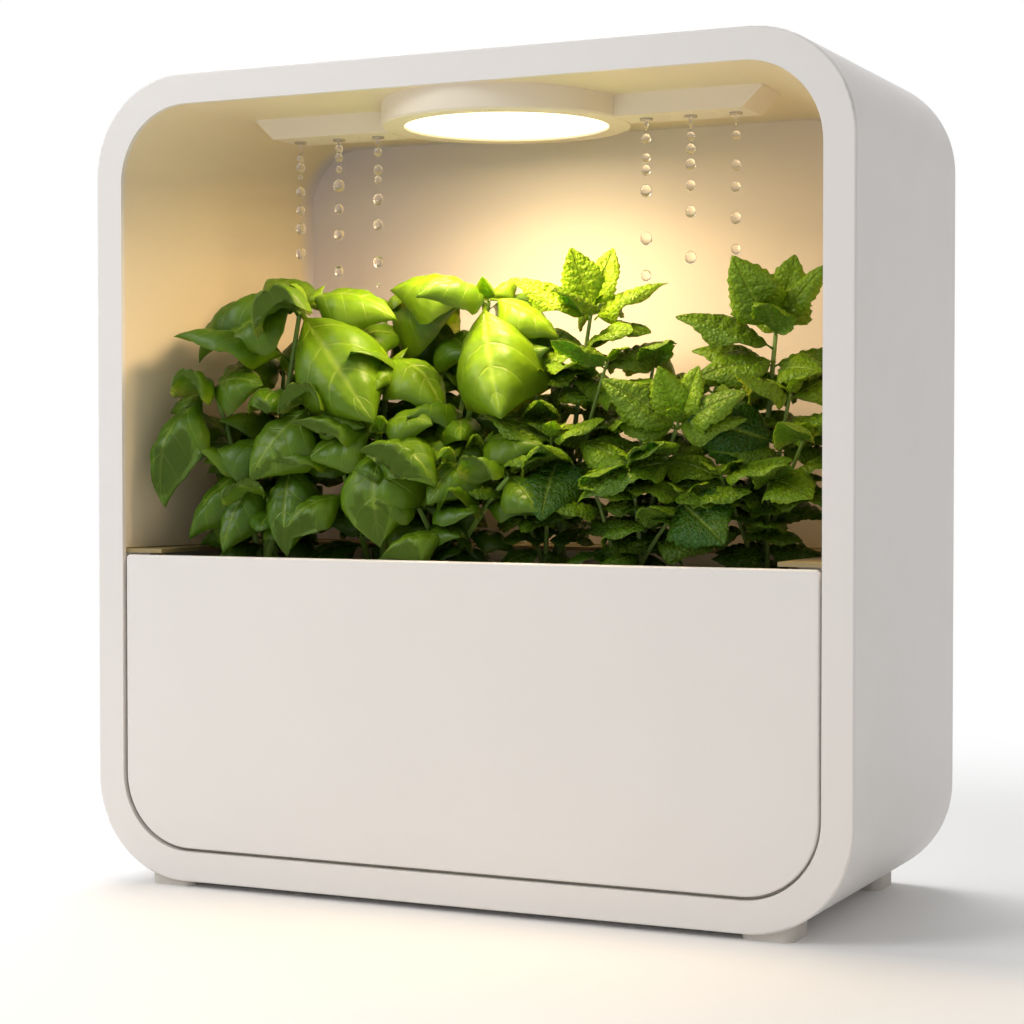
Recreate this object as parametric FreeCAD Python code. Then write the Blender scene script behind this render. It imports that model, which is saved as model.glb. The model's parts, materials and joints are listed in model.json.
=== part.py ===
import FreeCAD, Part
import math
import os
from FreeCAD import Vector

# Countertop hydroponic garden: a rounded cabinet with a ceiling lamp, two drip bars, a pull-out
# water tank behind the front panel, and a lift-out tray of six potted herbs.
# Millimetres. +Z is up, the front faces -Y, and the origin is on the table below the middle.

# Cabinet
cabinet_width = 400.0
cabinet_height = 405.0
cabinet_depth = 168.0
cabinet_corner = 50.0
skin = 3.0
frame_band = 15.0
opening_corner = 38.0
edge_round = 1.2
foot_height = 3.0
foot_length = 26.0
foot_corner = 5.2
foot_reach = 4.5
foot_start_from_corner = 4.0
foot_setback = 3.0

# Liner of the growing space, which narrows towards its back wall
liner_wall = 2.0
liner_back_gap = 15.0
liner_side_taper = 25.0
liner_top_taper = 6.0
liner_back_corner = 32.0

# Drawer front and the bay that it closes
drawer_gap = 1.5
drawer_front_recess = 1.0
drawer_front_thickness = 4.0
drawer_front_height = 147.5
drawer_front_top_corner = 2.0
drawer_front_round = 1.0
bay_wall = 2.0
bay_inset = 13.0
bay_floor_rise = 6.0
bay_corner = 32.0
machine_space = 43.5
ledge_clearance = 1.0
ledge_thickness = 2.0
ledge_overhang = 8.5
closing_gap = 0.5

# Water tank
tank_wall = 2.5
tank_side_gap = 9.0
tank_floor_gap = 2.0
tank_back_gap = 2.6
tank_height = 126.0
tank_corner = 26.0
slide_height = 8.0
slide_depth = 7.0
slide_rise = 70.0
slide_end_gap = 8.0
runner_wall = 2.0
sliding_clearance = 0.3

# Lift-out tray, net cups and grow plugs
tray_edge_gap = 0.5
tray_thickness = 2.5
tray_rim_height = 5.5
tray_rim_wall = 2.0
tray_skirt_depth = 8.0
tray_skirt_gap = 0.5
cup_count = 6
cup_row_margin = 9.5
cup_stagger = 26.0
cup_rim_radius = 24.0
cup_rim_thickness = 2.0
cup_top_radius = 20.8
cup_bottom_radius = 14.0
cup_height = 46.0
cup_wall = 1.6
cup_slots = 6
cup_sides = 18
cup_slot_width = 3.0
cup_seat_clearance = 0.5
plug_clearance = 0.4
plug_drop = 3.0
fill_port_radius = 12.0
fill_port_collar = 2.0
fill_port_collar_height = 4.0
fill_port_x = 132.0
fill_port_inset = 20.0

# Ceiling lamp
lamp_y = -18.0
lamp_radius = 62.5
lamp_drop = 9.5
lamp_wall = 2.5
lamp_bevel = 1.0
diffuser_radius = 51.0
diffuser_thickness = 2.0
diffuser_lip = 3.0
diffuser_clearance = 0.2
led_board_radius = 46.0
led_board_thickness = 1.6
led_count = 18
led_size = 3.0
led_thickness = 0.8
led_ring_radius = 34.0
led_inner_ring_radius = 17.0

# Drip bars and nozzles
bar_width = 29.0
bar_neck_width = 20.0
bar_neck_length = 12.0
bar_end_gap = 22.0
bar_behind_lamp = 2.0
bar_end_slope = 10.0
bar_wall = 2.0
bar_lid_thickness = 1.6
nozzle_first_x = 74.0
nozzle_end_margin = 18.0
nozzle_count = 3
nozzle_flange_radius = 3.2
nozzle_flange_height = 1.0
nozzle_body_radius = 2.0
nozzle_bore_radius = 0.8
nozzle_body_length = 4.0
bleed_hole_radius = 0.8

# Water circuit
hose_radius = 3.5
hose_bore = 2.5
hose_rise = 24.0
hose_shift_height = 52.0
fitting_radius = 5.5
fitting_length = 11.0
spigot_radius = 4.0
spigot_bore = 2.5
spigot_reach = 13.0
spigot_bevel = 0.8
spigot_flange_radius = 9.0
spigot_flange_thickness = 2.0
seal_radius = 8.0
seal_flange_radius = 11.0
seal_flange_thickness = 1.5
seal_clearance = 0.2
pump_x = -60.0
pump_rise = 22.0
pump_radius = 22.0
pump_cover_thickness = 3.0
pump_chamber_radius = 17.0
pump_chamber_depth = 9.0
pump_motor_depth = 14.0
pump_back_wall = 3.0
pump_outlet_length = 12.0
impeller_radius = 14.5
impeller_hub_radius = 4.0
impeller_disc_thickness = 1.5
impeller_blades = 6
impeller_blade_thickness = 1.4
rotor_radius = 7.0
rotor_clearance = 0.6
shaft_radius = 1.5
shaft_end_wall = 1.0
shaft_clearance = 0.05

# Float in the tank and its sensor
float_x = 105.0
float_radius = 11.0
float_height = 14.0
float_bevel = 1.5
float_stem_radius = 2.0
float_stem_height = 62.0
float_clearance = 0.3
float_base_radius = 7.0
float_base_height = 4.0
float_wall_gap = 6.0
sensor_width = 18.0
sensor_height = 30.0
sensor_thickness = 5.0

# Rear cover, controls and power
rear_cover_thickness = 3.0
rear_cover_recess = 1.0
rear_cover_clearance = 0.3
boss_radius = 5.0
boss_length = 18.0
boss_overlap = 1.0
screw_radius = 1.6
screw_length = 12.0
screw_head_radius = 3.2
screw_head_height = 1.8
vent_count = 9
vent_width = 3.0
vent_height = 34.0
vent_pitch = 8.0
vent_rise = 106.0
board_x = 100.0
board_width = 70.0
board_height = 44.0
board_thickness = 1.6
board_rise = 96.0
board_standoff = 11.0
standoff_radius = 3.0
chip_size = 11.0
chip_thickness = 2.0
chip_offset = 6.0
driver_width = 16.0
driver_height = 12.0
driver_thickness = 7.0
capacitor_radius = 4.0
capacitor_height = 9.0
standoff_inset = 5.0
inlet_width = 14.0
inlet_height = 12.0
inlet_offset = 20.0
inlet_socket_radius = 2.8
inlet_pin_radius = 1.0
inlet_socket_depth = 9.0
inlet_nose_radius = 4.6
inlet_pin_setback = 1.0
button_offset = -16.0
button_radius = 6.0
button_clearance = 0.3
button_proud = 0.8
button_bevel = 0.5
button_rim = 1.5
button_dish = 0.4
button_flange = 1.6
button_flange_thickness = 1.6
button_travel = 1.2
switch_size = 7.0
switch_plunger_radius = 1.8

# Plants
basil_height = 148.0
basil_stem_radius = 2.2
basil_leaf_length = 50.0
basil_leaf_width = 30.0
basil_leaf_pairs = 6
mint_height = 146.0
mint_stem_radius = 1.7
mint_leaf_length = 39.0
mint_leaf_width = 22.0
mint_leaf_pairs = 8
leaf_thickness = 0.8
leaf_stations = (0.3, 0.64)
leaf_arch = 0.16
leaf_fold = 0.3
leaf_tip_drop = 0.6
top_leaf_lift = 34.0
top_leaf_shrink = 0.5
stem_taper = 0.6
basil_first_leaf = 36.0
basil_droop = 10.0
basil_turn = 12.0
basil_step = 12.0
mint_first_leaf = 34.0
mint_first_leaf_step = 9.0
mint_droop = 4.0
mint_turn = 14.0
mint_step = 10.0

# Places worked out from the sizes above
half_width = cabinet_width / 2
front_y = -cabinet_depth / 2
back_y = cabinet_depth / 2
base_z = foot_height
top_z = base_z + cabinet_height
opening_half = half_width - frame_band
opening_low = base_z + frame_band
opening_high = top_z - frame_band
frame_back_y = front_y + skin
rear_cover_back_y = back_y - rear_cover_recess
rear_cover_front_y = rear_cover_back_y - rear_cover_thickness
liner_back_y = rear_cover_front_y - liner_back_gap
liner_back_half = opening_half - liner_side_taper
liner_back_high = opening_high - liner_top_taper
bar_end_x = liner_back_half - bar_end_gap
nozzle_pitch = (bar_end_x - nozzle_end_margin - nozzle_first_x) / (nozzle_count - 1)
panel_front_y = front_y + drawer_front_recess
panel_back_y = panel_front_y + drawer_front_thickness
panel_low = opening_low + drawer_gap
panel_high = panel_low + drawer_front_height
ledge_z = panel_high + ledge_clearance
bay_half = opening_half - bay_inset
bay_floor_z = opening_low + bay_floor_rise
bay_front_y = panel_back_y + closing_gap
bay_back_y = rear_cover_front_y - machine_space
bay_depth = bay_back_y - bay_front_y
tank_half = bay_half - tank_side_gap
tank_low = bay_floor_z + tank_floor_gap
tank_high = tank_low + tank_height
tank_back_y = bay_back_y - tank_back_gap
tray_half = tank_half - tray_edge_gap
tray_front_y = panel_back_y + tray_edge_gap
tray_back_y = tank_back_y - tray_edge_gap
cup_pitch = 2 * (tray_half - cup_row_margin) / cup_count
tray_top = tank_high + tray_thickness
cup_row_y = (tray_front_y + tray_back_y) / 2
cup_bottom = tray_top - cup_height
lamp_low = opening_high - liner_top_taper / 2 - lamp_drop
spigot_z = tank_low + pump_rise
bulkhead_back_y = bay_back_y + bay_wall
FAR = 1000.0
UP = Vector(0, 0, 1)
BACK = Vector(0, 1, 0)


def block(x0, x1, y0, y1, z0, z1):
    return Part.makeBox(x1 - x0, y1 - y0, z1 - z0, Vector(x0, y0, z0))


def rod(radius, start, end):
    start, end = Vector(start), Vector(end)
    return Part.makeCylinder(radius, (end - start).Length, start, end - start)


def mirrored(shape):
    return shape.mirror(Vector(0, 0, 0), Vector(1, 0, 0))


def joined(shapes):
    first, rest = shapes[0], shapes[1:]
    return first.multiFuse(rest).removeSplitter() if rest else first


def outline(half, low, high, low_corner, high_corner, y):
    """A closed front-view outline at depth y, with round corners, from the bottom left anticlockwise."""
    corners = [
        (-half, low, low_corner, 180),
        (half, low, low_corner, 270),
        (half, high, high_corner, 0),
        (-half, high, high_corner, 90),
    ]
    edges = []
    ends = []
    for x, z, r, start in corners:
        centre = Vector(x - math.copysign(r, x), y, z + (r if z == low else -r))
        points = []
        for angle in (start, start + 45, start + 90):
            a = math.radians(angle)
            points.append(centre + Vector(r * math.cos(a), 0, r * math.sin(a)))
        edges.append(Part.Arc(*points).toShape())
        ends.append((points[0], points[2]))
    sides = [
        Part.LineSegment(ends[i][1], ends[(i + 1) % 4][0]).toShape() for i in range(4)
    ]
    return Part.Wire([edge for pair in zip(edges, sides) for edge in pair])


def slab(wire, depth):
    return Part.Face(wire).extrude(Vector(0, depth, 0))


def tapered(front_wire, back_wire):
    return Part.makeLoft([front_wire, back_wire], True, True)


def hose(name, points):
    """A hose along straight runs joined by the largest round bends that the runs allow."""
    points = [Vector(p) for p in points]
    edges = []
    last = points[0]
    for before, here, after in zip(points, points[1:], points[2:]):
        a, b = (before - here).normalize(), (after - here).normalize()
        half_turn = (math.pi - a.getAngle(b)) / 2
        reach = 0.45 * min((before - here).Length, (after - here).Length)
        bend = reach / math.tan(half_turn)
        print(f"{name}: bend radius {bend:.1f}")
        start, end = here + a * reach, here + b * reach
        middle = here + (a + b).normalize() * (bend / math.cos(half_turn) - bend)
        edges.append(Part.LineSegment(last, start).toShape())
        edges.append(Part.Arc(start, middle, end).toShape())
        last = end
    edges.append(Part.LineSegment(last, points[-1]).toShape())
    path = Part.Wire(edges)
    direction = points[1] - points[0]
    tubes = []
    for r in (hose_radius, hose_bore):
        ring = Part.Wire(Part.Circle(points[0], direction, r).toShape())
        tubes.append(path.makePipeShell([ring], True, False))
    tube = tubes[0].cut(tubes[1])
    section = math.pi * (hose_radius**2 - hose_bore**2)
    print(f"{name}: volume {tube.Volume:.1f}, section times length {section * path.Length:.1f}")
    return tube


# Cabinet pieces


def outer_shell():
    body = slab(
        outline(half_width, base_z, top_z, cabinet_corner, cabinet_corner, front_y),
        cabinet_depth,
    )
    front_edges = [
        e for e in body.Edges if e.BoundBox.YMax < front_y + skin / 2
    ]
    body = body.makeFillet(edge_round, front_edges)
    inner_corner = cabinet_corner - skin
    inside = outline(
        half_width - skin, base_z + skin, top_z - skin, inner_corner, inner_corner, frame_back_y
    )
    body = body.cut(slab(inside, FAR))
    opening = slab(
        outline(opening_half, opening_low, opening_high, opening_corner, opening_corner, front_y - skin),
        FAR,
    )
    body = body.cut(opening)
    screw_bosses = [
        rod(boss_radius, (x, rear_cover_front_y - boss_length, z), (x, rear_cover_front_y, z))
        for x, z in cover_screw_places()
    ]
    body = body.multiFuse(screw_bosses)
    pilots = [
        rod(screw_radius, (x, rear_cover_front_y - boss_length, z), (x, rear_cover_front_y + skin, z))
        for x, z in cover_screw_places()
    ]
    return body.cut(Part.makeCompound(pilots)).removeSplitter()


def cover_screw_places():
    """Corner bosses that grow out of the skin, on the diagonal of each round corner."""
    reach = cabinet_corner - skin - boss_radius + boss_overlap
    step = reach * math.cos(math.radians(45))
    x = half_width - cabinet_corner + step
    low = base_z + cabinet_corner - step
    high = top_z - cabinet_corner + step
    return [(-x, low), (x, low), (x, high), (-x, high)]


def liner_inside(front_grow, back_grow, back_y_end):
    """The growing space as a tapered solid, grown by the given wall at its front and back."""
    front = outline(
        opening_half + front_grow,
        opening_low - front_grow,
        opening_high + front_grow,
        opening_corner + front_grow,
        opening_corner + front_grow,
        frame_back_y,
    )
    back = outline(
        liner_back_half + back_grow,
        opening_low - back_grow,
        liner_back_high + back_grow,
        liner_back_corner + back_grow,
        liner_back_corner + back_grow,
        back_y_end,
    )
    return tapered(front, back)


def growing_liner():
    shell = liner_inside(liner_wall, liner_wall, liner_back_y + liner_wall)
    shell = shell.cut(liner_inside(0, 0, liner_back_y))
    below = block(-FAR, FAR, -FAR, FAR, -FAR, ledge_z)
    shell = shell.cut(below)
    outer = opening_half + liner_wall
    bay_outer = bay_half + bay_wall
    back = liner_back_y + liner_wall
    turn_y = frame_back_y + (outer - bay_outer) * (back - frame_back_y) / liner_side_taper
    plan = [
        (-outer, frame_back_y),
        (outer, frame_back_y),
        (bay_outer, turn_y),
        (bay_outer, back),
        (-bay_outer, back),
        (-bay_outer, turn_y),
    ]
    plan_wire = Part.makePolygon([Vector(x, y, ledge_z) for x, y in plan + plan[:1]])
    ledge = Part.Face(plan_wire).extrude(Vector(0, 0, ledge_thickness))
    way = bay_half - ledge_overhang
    ledge = ledge.cut(block(-way, way, -FAR, bay_back_y, -FAR, FAR))
    liner = shell.fuse(ledge)
    holes = [
        rod(spigot_radius + sliding_clearance, (x, bar_y(), lamp_low), (x, bar_y(), top_z))
        for x in (-feed_x(), feed_x())
    ]
    holes.append(rod(spigot_radius, (0, lamp_y, lamp_low), (0, lamp_y, top_z)))
    return liner.cut(Part.makeCompound(holes)).removeSplitter()


def drawer_bay():
    high = ledge_z + bay_corner + opening_corner
    outer = slab(
        outline(bay_half + bay_wall, bay_floor_z - bay_wall, high, bay_corner, bay_corner, bay_front_y),
        bay_depth + bay_wall,
    )
    inner_corner = bay_corner - bay_wall
    hollow = outline(bay_half, bay_floor_z, high, inner_corner, inner_corner, bay_front_y)
    flange_wire = outline(opening_half, opening_low, high, opening_corner, opening_corner, bay_front_y)
    flange = slab(flange_wire, bay_wall)
    rim_corner = opening_corner + bay_wall
    rim_wire = outline(
        opening_half + bay_wall, opening_low - bay_wall, high, rim_corner, rim_corner, frame_back_y
    )
    rim_depth = bay_front_y + bay_wall - frame_back_y
    rim_hole = outline(
        opening_half, opening_low, high, opening_corner, opening_corner, frame_back_y
    )
    rim = slab(rim_wire, rim_depth).cut(slab(rim_hole, rim_depth))
    bay = outer.multiFuse([flange, rim])
    bay = bay.cut(slab(hollow, bay_depth))
    bay = bay.cut(block(-FAR, FAR, -FAR, FAR, ledge_z, FAR))
    spigot_hole = rod(spigot_radius, (pump_x, bay_front_y, spigot_z), (pump_x, back_y, spigot_z))
    return bay.cut(spigot_hole).removeSplitter()


def feet():
    """Four pads that hug the round underside of the cabinet."""
    around = slab(outline(half_width, base_z, top_z, cabinet_corner, cabinet_corner, front_y), cabinet_depth)
    start = half_width - cabinet_corner - foot_start_from_corner
    rise = foot_height + foot_reach
    drop = cabinet_corner - foot_reach
    end = half_width - cabinet_corner + math.sqrt(cabinet_corner**2 - drop**2)
    made = {}
    for side, sign in (("left", -1), ("right", 1)):
        for place, y in (
            ("front", front_y + foot_setback),
            ("rear", back_y - foot_setback - foot_length),
        ):
            pad = block(start, end, y, y + foot_length, 0, rise)
            pad = pad.makeFillet(
                foot_corner,
                [e for e in pad.Edges if abs(e.tangentAt(e.FirstParameter).z) > 0.9],
            )
            if sign < 0:
                pad = mirrored(pad)
            made[f"foot_{place}_{side}"] = pad.cut(around)
    return made


def rear_cover():
    corner = cabinet_corner - skin - rear_cover_clearance
    inset = skin + rear_cover_clearance
    plate = slab(
        outline(half_width - inset, base_z + inset, top_z - inset, corner, corner, rear_cover_front_y),
        rear_cover_thickness,
    )
    cuts = []
    for x, z in cover_screw_places():
        cuts.append(rod(screw_radius + rear_cover_clearance, (x, rear_cover_front_y, z), (x, back_y, z)))
        seat = rear_cover_back_y - screw_head_height
        cuts.append(rod(screw_head_radius, (x, seat, z), (x, back_y, z)))
    for i in range(vent_count):
        x = pump_x + (i - (vent_count - 1) / 2) * vent_pitch
        z = base_z + vent_rise
        cuts.append(block(x - vent_width / 2, x + vent_width / 2, front_y, back_y, z, z + vent_height))
    button_x, button_z = button_place()
    cuts.append(
        rod(button_radius + button_clearance, (button_x, front_y, button_z), (button_x, back_y, button_z))
    )
    inlet_x, inlet_z = inlet_place()
    cuts.append(rod(inlet_nose_radius, (inlet_x, front_y, inlet_z), (inlet_x, back_y, inlet_z)))
    standoffs = []
    for x, z in board_corner_places():
        start = rear_cover_front_y - board_standoff
        standoffs.append(rod(standoff_radius, (x, start, z), (x, rear_cover_front_y, z)))
    return plate.cut(Part.makeCompound(cuts)).multiFuse(standoffs).removeSplitter()


def rear_cover_screws():
    screws = []
    seat = rear_cover_back_y - screw_head_height
    for x, z in cover_screw_places():
        shank = rod(screw_radius, (x, seat - screw_length, z), (x, seat, z))
        head = rod(screw_head_radius, (x, seat, z), (x, rear_cover_back_y, z))
        socket = rod(screw_radius, (x, rear_cover_back_y - screw_head_height / 2, z), (x, back_y, z))
        screws.append(shank.fuse(head).cut(socket).removeSplitter())
    return Part.makeCompound(screws)


def board_corner_places():
    z = base_z + board_rise
    dx = board_width / 2 - standoff_inset
    dz = board_height / 2 - standoff_inset
    return [(board_x + sx * dx, z + sz * dz) for sx in (-1, 1) for sz in (-1, 1)]


def inlet_place():
    return board_x + inlet_offset, base_z + board_rise


def button_place():
    return board_x + button_offset, base_z + board_rise


def board_back_y():
    return rear_cover_front_y - board_standoff


def control_board():
    z = base_z + board_rise
    back = board_back_y()
    board = block(
        board_x - board_width / 2,
        board_x + board_width / 2,
        back - board_thickness,
        back,
        z - board_height / 2,
        z + board_height / 2,
    )
    chip_z = z - chip_size - chip_offset
    chip = block(
        board_x - chip_size / 2, board_x + chip_size / 2, back, back + chip_thickness, chip_z, chip_z + chip_size
    )
    driver_z = z + chip_offset
    driver = block(
        board_x - driver_width / 2, board_x + driver_width / 2, back, back + driver_thickness,
        driver_z, driver_z + driver_height,
    )
    can_x = board_x + driver_width
    can_z = driver_z + driver_height / 2
    capacitor = rod(capacitor_radius, (can_x, back, can_z), (can_x, back + capacitor_height, can_z))
    return joined([board, chip, driver, capacitor])


def power_inlet():
    x, z = inlet_place()
    body = block(
        x - inlet_width / 2,
        x + inlet_width / 2,
        board_back_y(),
        rear_cover_front_y,
        z - inlet_height / 2,
        z + inlet_height / 2,
    )
    nose = rod(inlet_nose_radius, (x, rear_cover_front_y, z), (x, rear_cover_back_y, z))
    floor_y = rear_cover_back_y - inlet_socket_depth
    socket = rod(inlet_socket_radius, (x, floor_y, z), (x, back_y, z))
    pin = rod(inlet_pin_radius, (x, floor_y, z), (x, rear_cover_back_y - inlet_pin_setback, z))
    return joined([body, nose]).cut(socket).fuse(pin).removeSplitter()


def power_button():
    x, z = button_place()
    cap_end = rear_cover_back_y + button_proud
    flange_back = rear_cover_front_y - closing_gap / 2
    flange_front = flange_back - button_flange_thickness
    cap = rod(button_radius, (x, flange_back, z), (x, cap_end, z))
    cap = cap.makeChamfer(button_bevel, [e for e in cap.Edges if e.BoundBox.YMin > rear_cover_back_y])
    dish = rod(button_radius - button_rim, (x, cap_end - button_dish, z), (x, cap_end, z))
    flange = rod(button_radius + button_flange, (x, flange_front, z), (x, flange_back, z))
    return joined([cap, flange]).cut(dish).removeSplitter()


def tact_switch():
    """The switch stands on the board, and its plunger ends where the pressed button stops."""
    x, z = button_place()
    flange_front = rear_cover_front_y - closing_gap / 2 - button_flange_thickness
    top = flange_front - button_travel - sliding_clearance
    shoulder = (board_back_y() + top) / 2
    half = switch_size / 2
    body = block(x - half, x + half, board_back_y(), shoulder, z - half, z + half)
    return joined([body, rod(switch_plunger_radius, (x, shoulder, z), (x, top, z))])


# Lamp


def below_ceiling(shape):
    """Trims what stands above the liner's ceiling, so that the piece seats on it."""
    return shape.cut(ceiling_wedge())


def ceiling_wedge():
    profile = [
        (frame_back_y, opening_high),
        (liner_back_y, liner_back_high),
        (liner_back_y, liner_back_high + FAR),
        (frame_back_y, opening_high + FAR),
    ]
    wire = Part.makePolygon([Vector(-half_width, y, z) for y, z in profile + profile[:1]])
    return Part.Face(wire).extrude(Vector(cabinet_width, 0, 0))


def lamp_housing():
    top = opening_high
    body = rod(lamp_radius, (0, lamp_y, lamp_low), (0, lamp_y, top))
    low_edges = [e for e in body.Edges if e.BoundBox.ZMax < lamp_low + closing_gap]
    body = body.makeChamfer(lamp_bevel, low_edges)
    mouth = diffuser_radius
    body = body.cut(rod(mouth, (0, lamp_y, lamp_low - 1), (0, lamp_y, lamp_low + diffuser_lip)))
    seat = mouth - diffuser_lip
    cavity_top = lamp_low + lamp_drop - lamp_wall
    body = body.cut(rod(seat, (0, lamp_y, lamp_low), (0, lamp_y, cavity_top)))
    wire_hole = rod(spigot_radius, (0, lamp_y, lamp_low), (0, lamp_y, top))
    return below_ceiling(body).cut(wire_hole).removeSplitter()


def lamp_diffuser():
    low = lamp_low + diffuser_lip - diffuser_thickness
    disc = rod(diffuser_radius - diffuser_clearance, (0, lamp_y, low), (0, lamp_y, low + diffuser_thickness))
    return disc


def led_board_z():
    return lamp_low + lamp_drop - lamp_wall - led_board_thickness


def led_board():
    z = led_board_z()
    board = rod(led_board_radius, (0, lamp_y, z), (0, lamp_y, z + led_board_thickness))
    return board.cut(rod(spigot_radius, (0, lamp_y, z), (0, lamp_y, top_z)))


def led_chips():
    """Two rings of chips on the board's underside."""
    chips = []
    outer = led_count * 2 // 3
    for count, radius in ((outer, led_ring_radius), (led_count - outer, led_inner_ring_radius)):
        for i in range(count):
            a = 2 * math.pi * i / count
            x, y = radius * math.cos(a), lamp_y + radius * math.sin(a)
            h = led_size / 2
            chips.append(block(x - h, x + h, y - h, y + h, led_board_z() - led_thickness, led_board_z()))
    return Part.makeCompound(chips)


# Drip bars


def bar_y():
    return lamp_y + bar_behind_lamp


def feed_x():
    return nozzle_first_x + nozzle_pitch / 2


def bar_plan(inset, z):
    """The bar seen from above: a neck beside the lamp that widens to the full width."""
    half = bar_width / 2 - inset
    neck = bar_neck_width / 2 - inset
    start = lamp_radius - bar_neck_width / 2
    wide = lamp_radius + bar_neck_length
    end = bar_end_x - inset * 2
    y = bar_y()
    points = [
        (start + inset, y - neck),
        (wide, y - half),
        (end, y - half),
        (end, y + half),
        (wide, y + half),
        (start + inset, y + neck),
    ]
    return Part.makePolygon([Vector(x, yy, z) for x, yy in points + points[:1]])


def bar_block(inset, low, high):
    body = Part.Face(bar_plan(inset, low)).extrude(Vector(0, 0, high - low))
    slope = bar_end_slope / lamp_drop
    end = bar_end_x - inset * 2
    profile = [
        (end - bar_end_slope, lamp_low),
        (end + slope * lamp_drop, lamp_low + 2 * lamp_drop),
        (end + FAR, lamp_low + 2 * lamp_drop),
        (end + FAR, lamp_low - lamp_drop),
        (end - 2 * bar_end_slope, lamp_low - lamp_drop),
    ]
    wire = Part.makePolygon([Vector(x, front_y, z) for x, z in profile + profile[:1]])
    return body.cut(Part.Face(wire).extrude(Vector(0, cabinet_depth, 0)))


def nozzle_places():
    return [(nozzle_first_x + i * nozzle_pitch, bar_y()) for i in range(nozzle_count)]


def rain_bar():
    """The right-hand bar: a trough with its nozzle and bleed holes, open at the top for its lid."""
    body = below_ceiling(bar_block(0, lamp_low, opening_high))
    body = body.cut(rod(lamp_radius, (0, lamp_y, lamp_low - 1), (0, lamp_y, opening_high)))
    trough = bar_block(bar_wall, lamp_low + bar_wall, opening_high)
    trough = trough.cut(rod(lamp_radius + bar_wall, (0, lamp_y, 0), (0, lamp_y, top_z)))
    body = body.cut(trough)
    cuts = [
        rod(nozzle_body_radius, (x, y, lamp_low - 1), (x, y, lamp_low + bar_wall + 1))
        for x, y in nozzle_places()
    ]
    for x, y in nozzle_places()[:-1]:
        middle = x + nozzle_pitch / 2
        cuts.append(rod(bleed_hole_radius, (middle, y, lamp_low - 1), (middle, y, lamp_low + bar_wall + 1)))
    return body.cut(Part.makeCompound(cuts)).removeSplitter()


def rain_bar_lid():
    """The lid drops into the trough against the ceiling, and its spigot goes up through the liner."""
    lid = bar_block(bar_wall, lamp_low + bar_wall, opening_high)
    lid = lid.cut(rod(lamp_radius + bar_wall, (0, lamp_y, 0), (0, lamp_y, top_z)))
    lid = below_ceiling(lid)
    lid = lid.common(ceiling_wedge().translated(Vector(0, 0, -bar_lid_thickness)))
    x, y = feed_x(), bar_y()
    spigot = rod(spigot_radius, (x, y, lamp_low + lamp_drop - bar_lid_thickness), (x, y, feed_low()))
    bore = rod(spigot_bore, (x, y, lamp_low + bar_wall), (x, y, feed_low()))
    return lid.fuse(spigot).cut(bore).removeSplitter()


def drip_nozzles():
    nozzles = []
    for x, y in nozzle_places():
        for side in (-1, 1):
            flange = rod(
                nozzle_flange_radius, (side * x, y, lamp_low - nozzle_flange_height), (side * x, y, lamp_low)
            )
            body = rod(nozzle_body_radius, (side * x, y, lamp_low), (side * x, y, lamp_low + nozzle_body_length))
            bore = rod(
                nozzle_bore_radius,
                (side * x, y, lamp_low - nozzle_flange_height),
                (side * x, y, lamp_low + nozzle_body_length),
            )
            nozzles.append(flange.fuse(body).cut(bore).removeSplitter())
    return Part.makeCompound(nozzles)


# Water circuit


def feed_z():
    """Height of the feed hoses, in the gap between the liner's ceiling and the cabinet's top."""
    return top_z - skin - hose_radius - closing_gap


def feed_low():
    return feed_z() - hose_radius


def tee_low():
    return feed_z() - fitting_length


def riser_y():
    return (liner_back_y + liner_wall + rear_cover_front_y) / 2


def pump_front_y():
    return bulkhead_back_y + spigot_flange_thickness


def pump_back_y():
    return (
        pump_front_y() + pump_cover_thickness + pump_chamber_depth + pump_motor_depth + pump_back_wall
    )


def pump_outlet():
    """Where the pump's outlet ends: its x, y and z."""
    x = pump_x + pump_chamber_radius - spigot_radius
    y = pump_front_y() + pump_cover_thickness + pump_chamber_depth / 2
    return x, y, spigot_z + pump_radius + pump_outlet_length


def suction_spigot():
    """The tube on the bay's rear wall that the tank slides onto."""
    tip = bay_back_y - spigot_reach
    tube = rod(spigot_radius, (pump_x, tip, spigot_z), (pump_x, bulkhead_back_y, spigot_z))
    tube = tube.makeChamfer(spigot_bevel, [e for e in tube.Edges if e.BoundBox.YMax < tip + spigot_bevel])
    flange = rod(spigot_flange_radius, (pump_x, bulkhead_back_y, spigot_z), (pump_x, pump_front_y(), spigot_z))
    bore = rod(spigot_bore, (pump_x, tip, spigot_z), (pump_x, pump_front_y(), spigot_z))
    return tube.fuse(flange).cut(bore).removeSplitter()


def dock_seal():
    """The rubber seal in the tank's rear wall that wipes the spigot."""
    inside = tank_back_y - tank_wall
    sleeve = rod(seal_radius, (pump_x, inside, spigot_z), (pump_x, tank_back_y, spigot_z))
    lip = rod(
        seal_flange_radius, (pump_x, inside - seal_flange_thickness, spigot_z), (pump_x, inside, spigot_z)
    )
    outer_lip = rod(
        seal_flange_radius, (pump_x, tank_back_y, spigot_z),
        (pump_x, tank_back_y + seal_flange_thickness, spigot_z),
    )
    bore = rod(spigot_radius + seal_clearance, (pump_x, front_y, spigot_z), (pump_x, back_y, spigot_z))
    return sleeve.multiFuse([lip, outer_lip]).cut(bore).removeSplitter()


def pump_cover():
    start = pump_front_y()
    end = start + pump_cover_thickness
    plate = rod(pump_radius, (pump_x, start, spigot_z), (pump_x, end, spigot_z))
    return plate.cut(rod(spigot_bore, (pump_x, start, spigot_z), (pump_x, end, spigot_z)))


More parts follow.
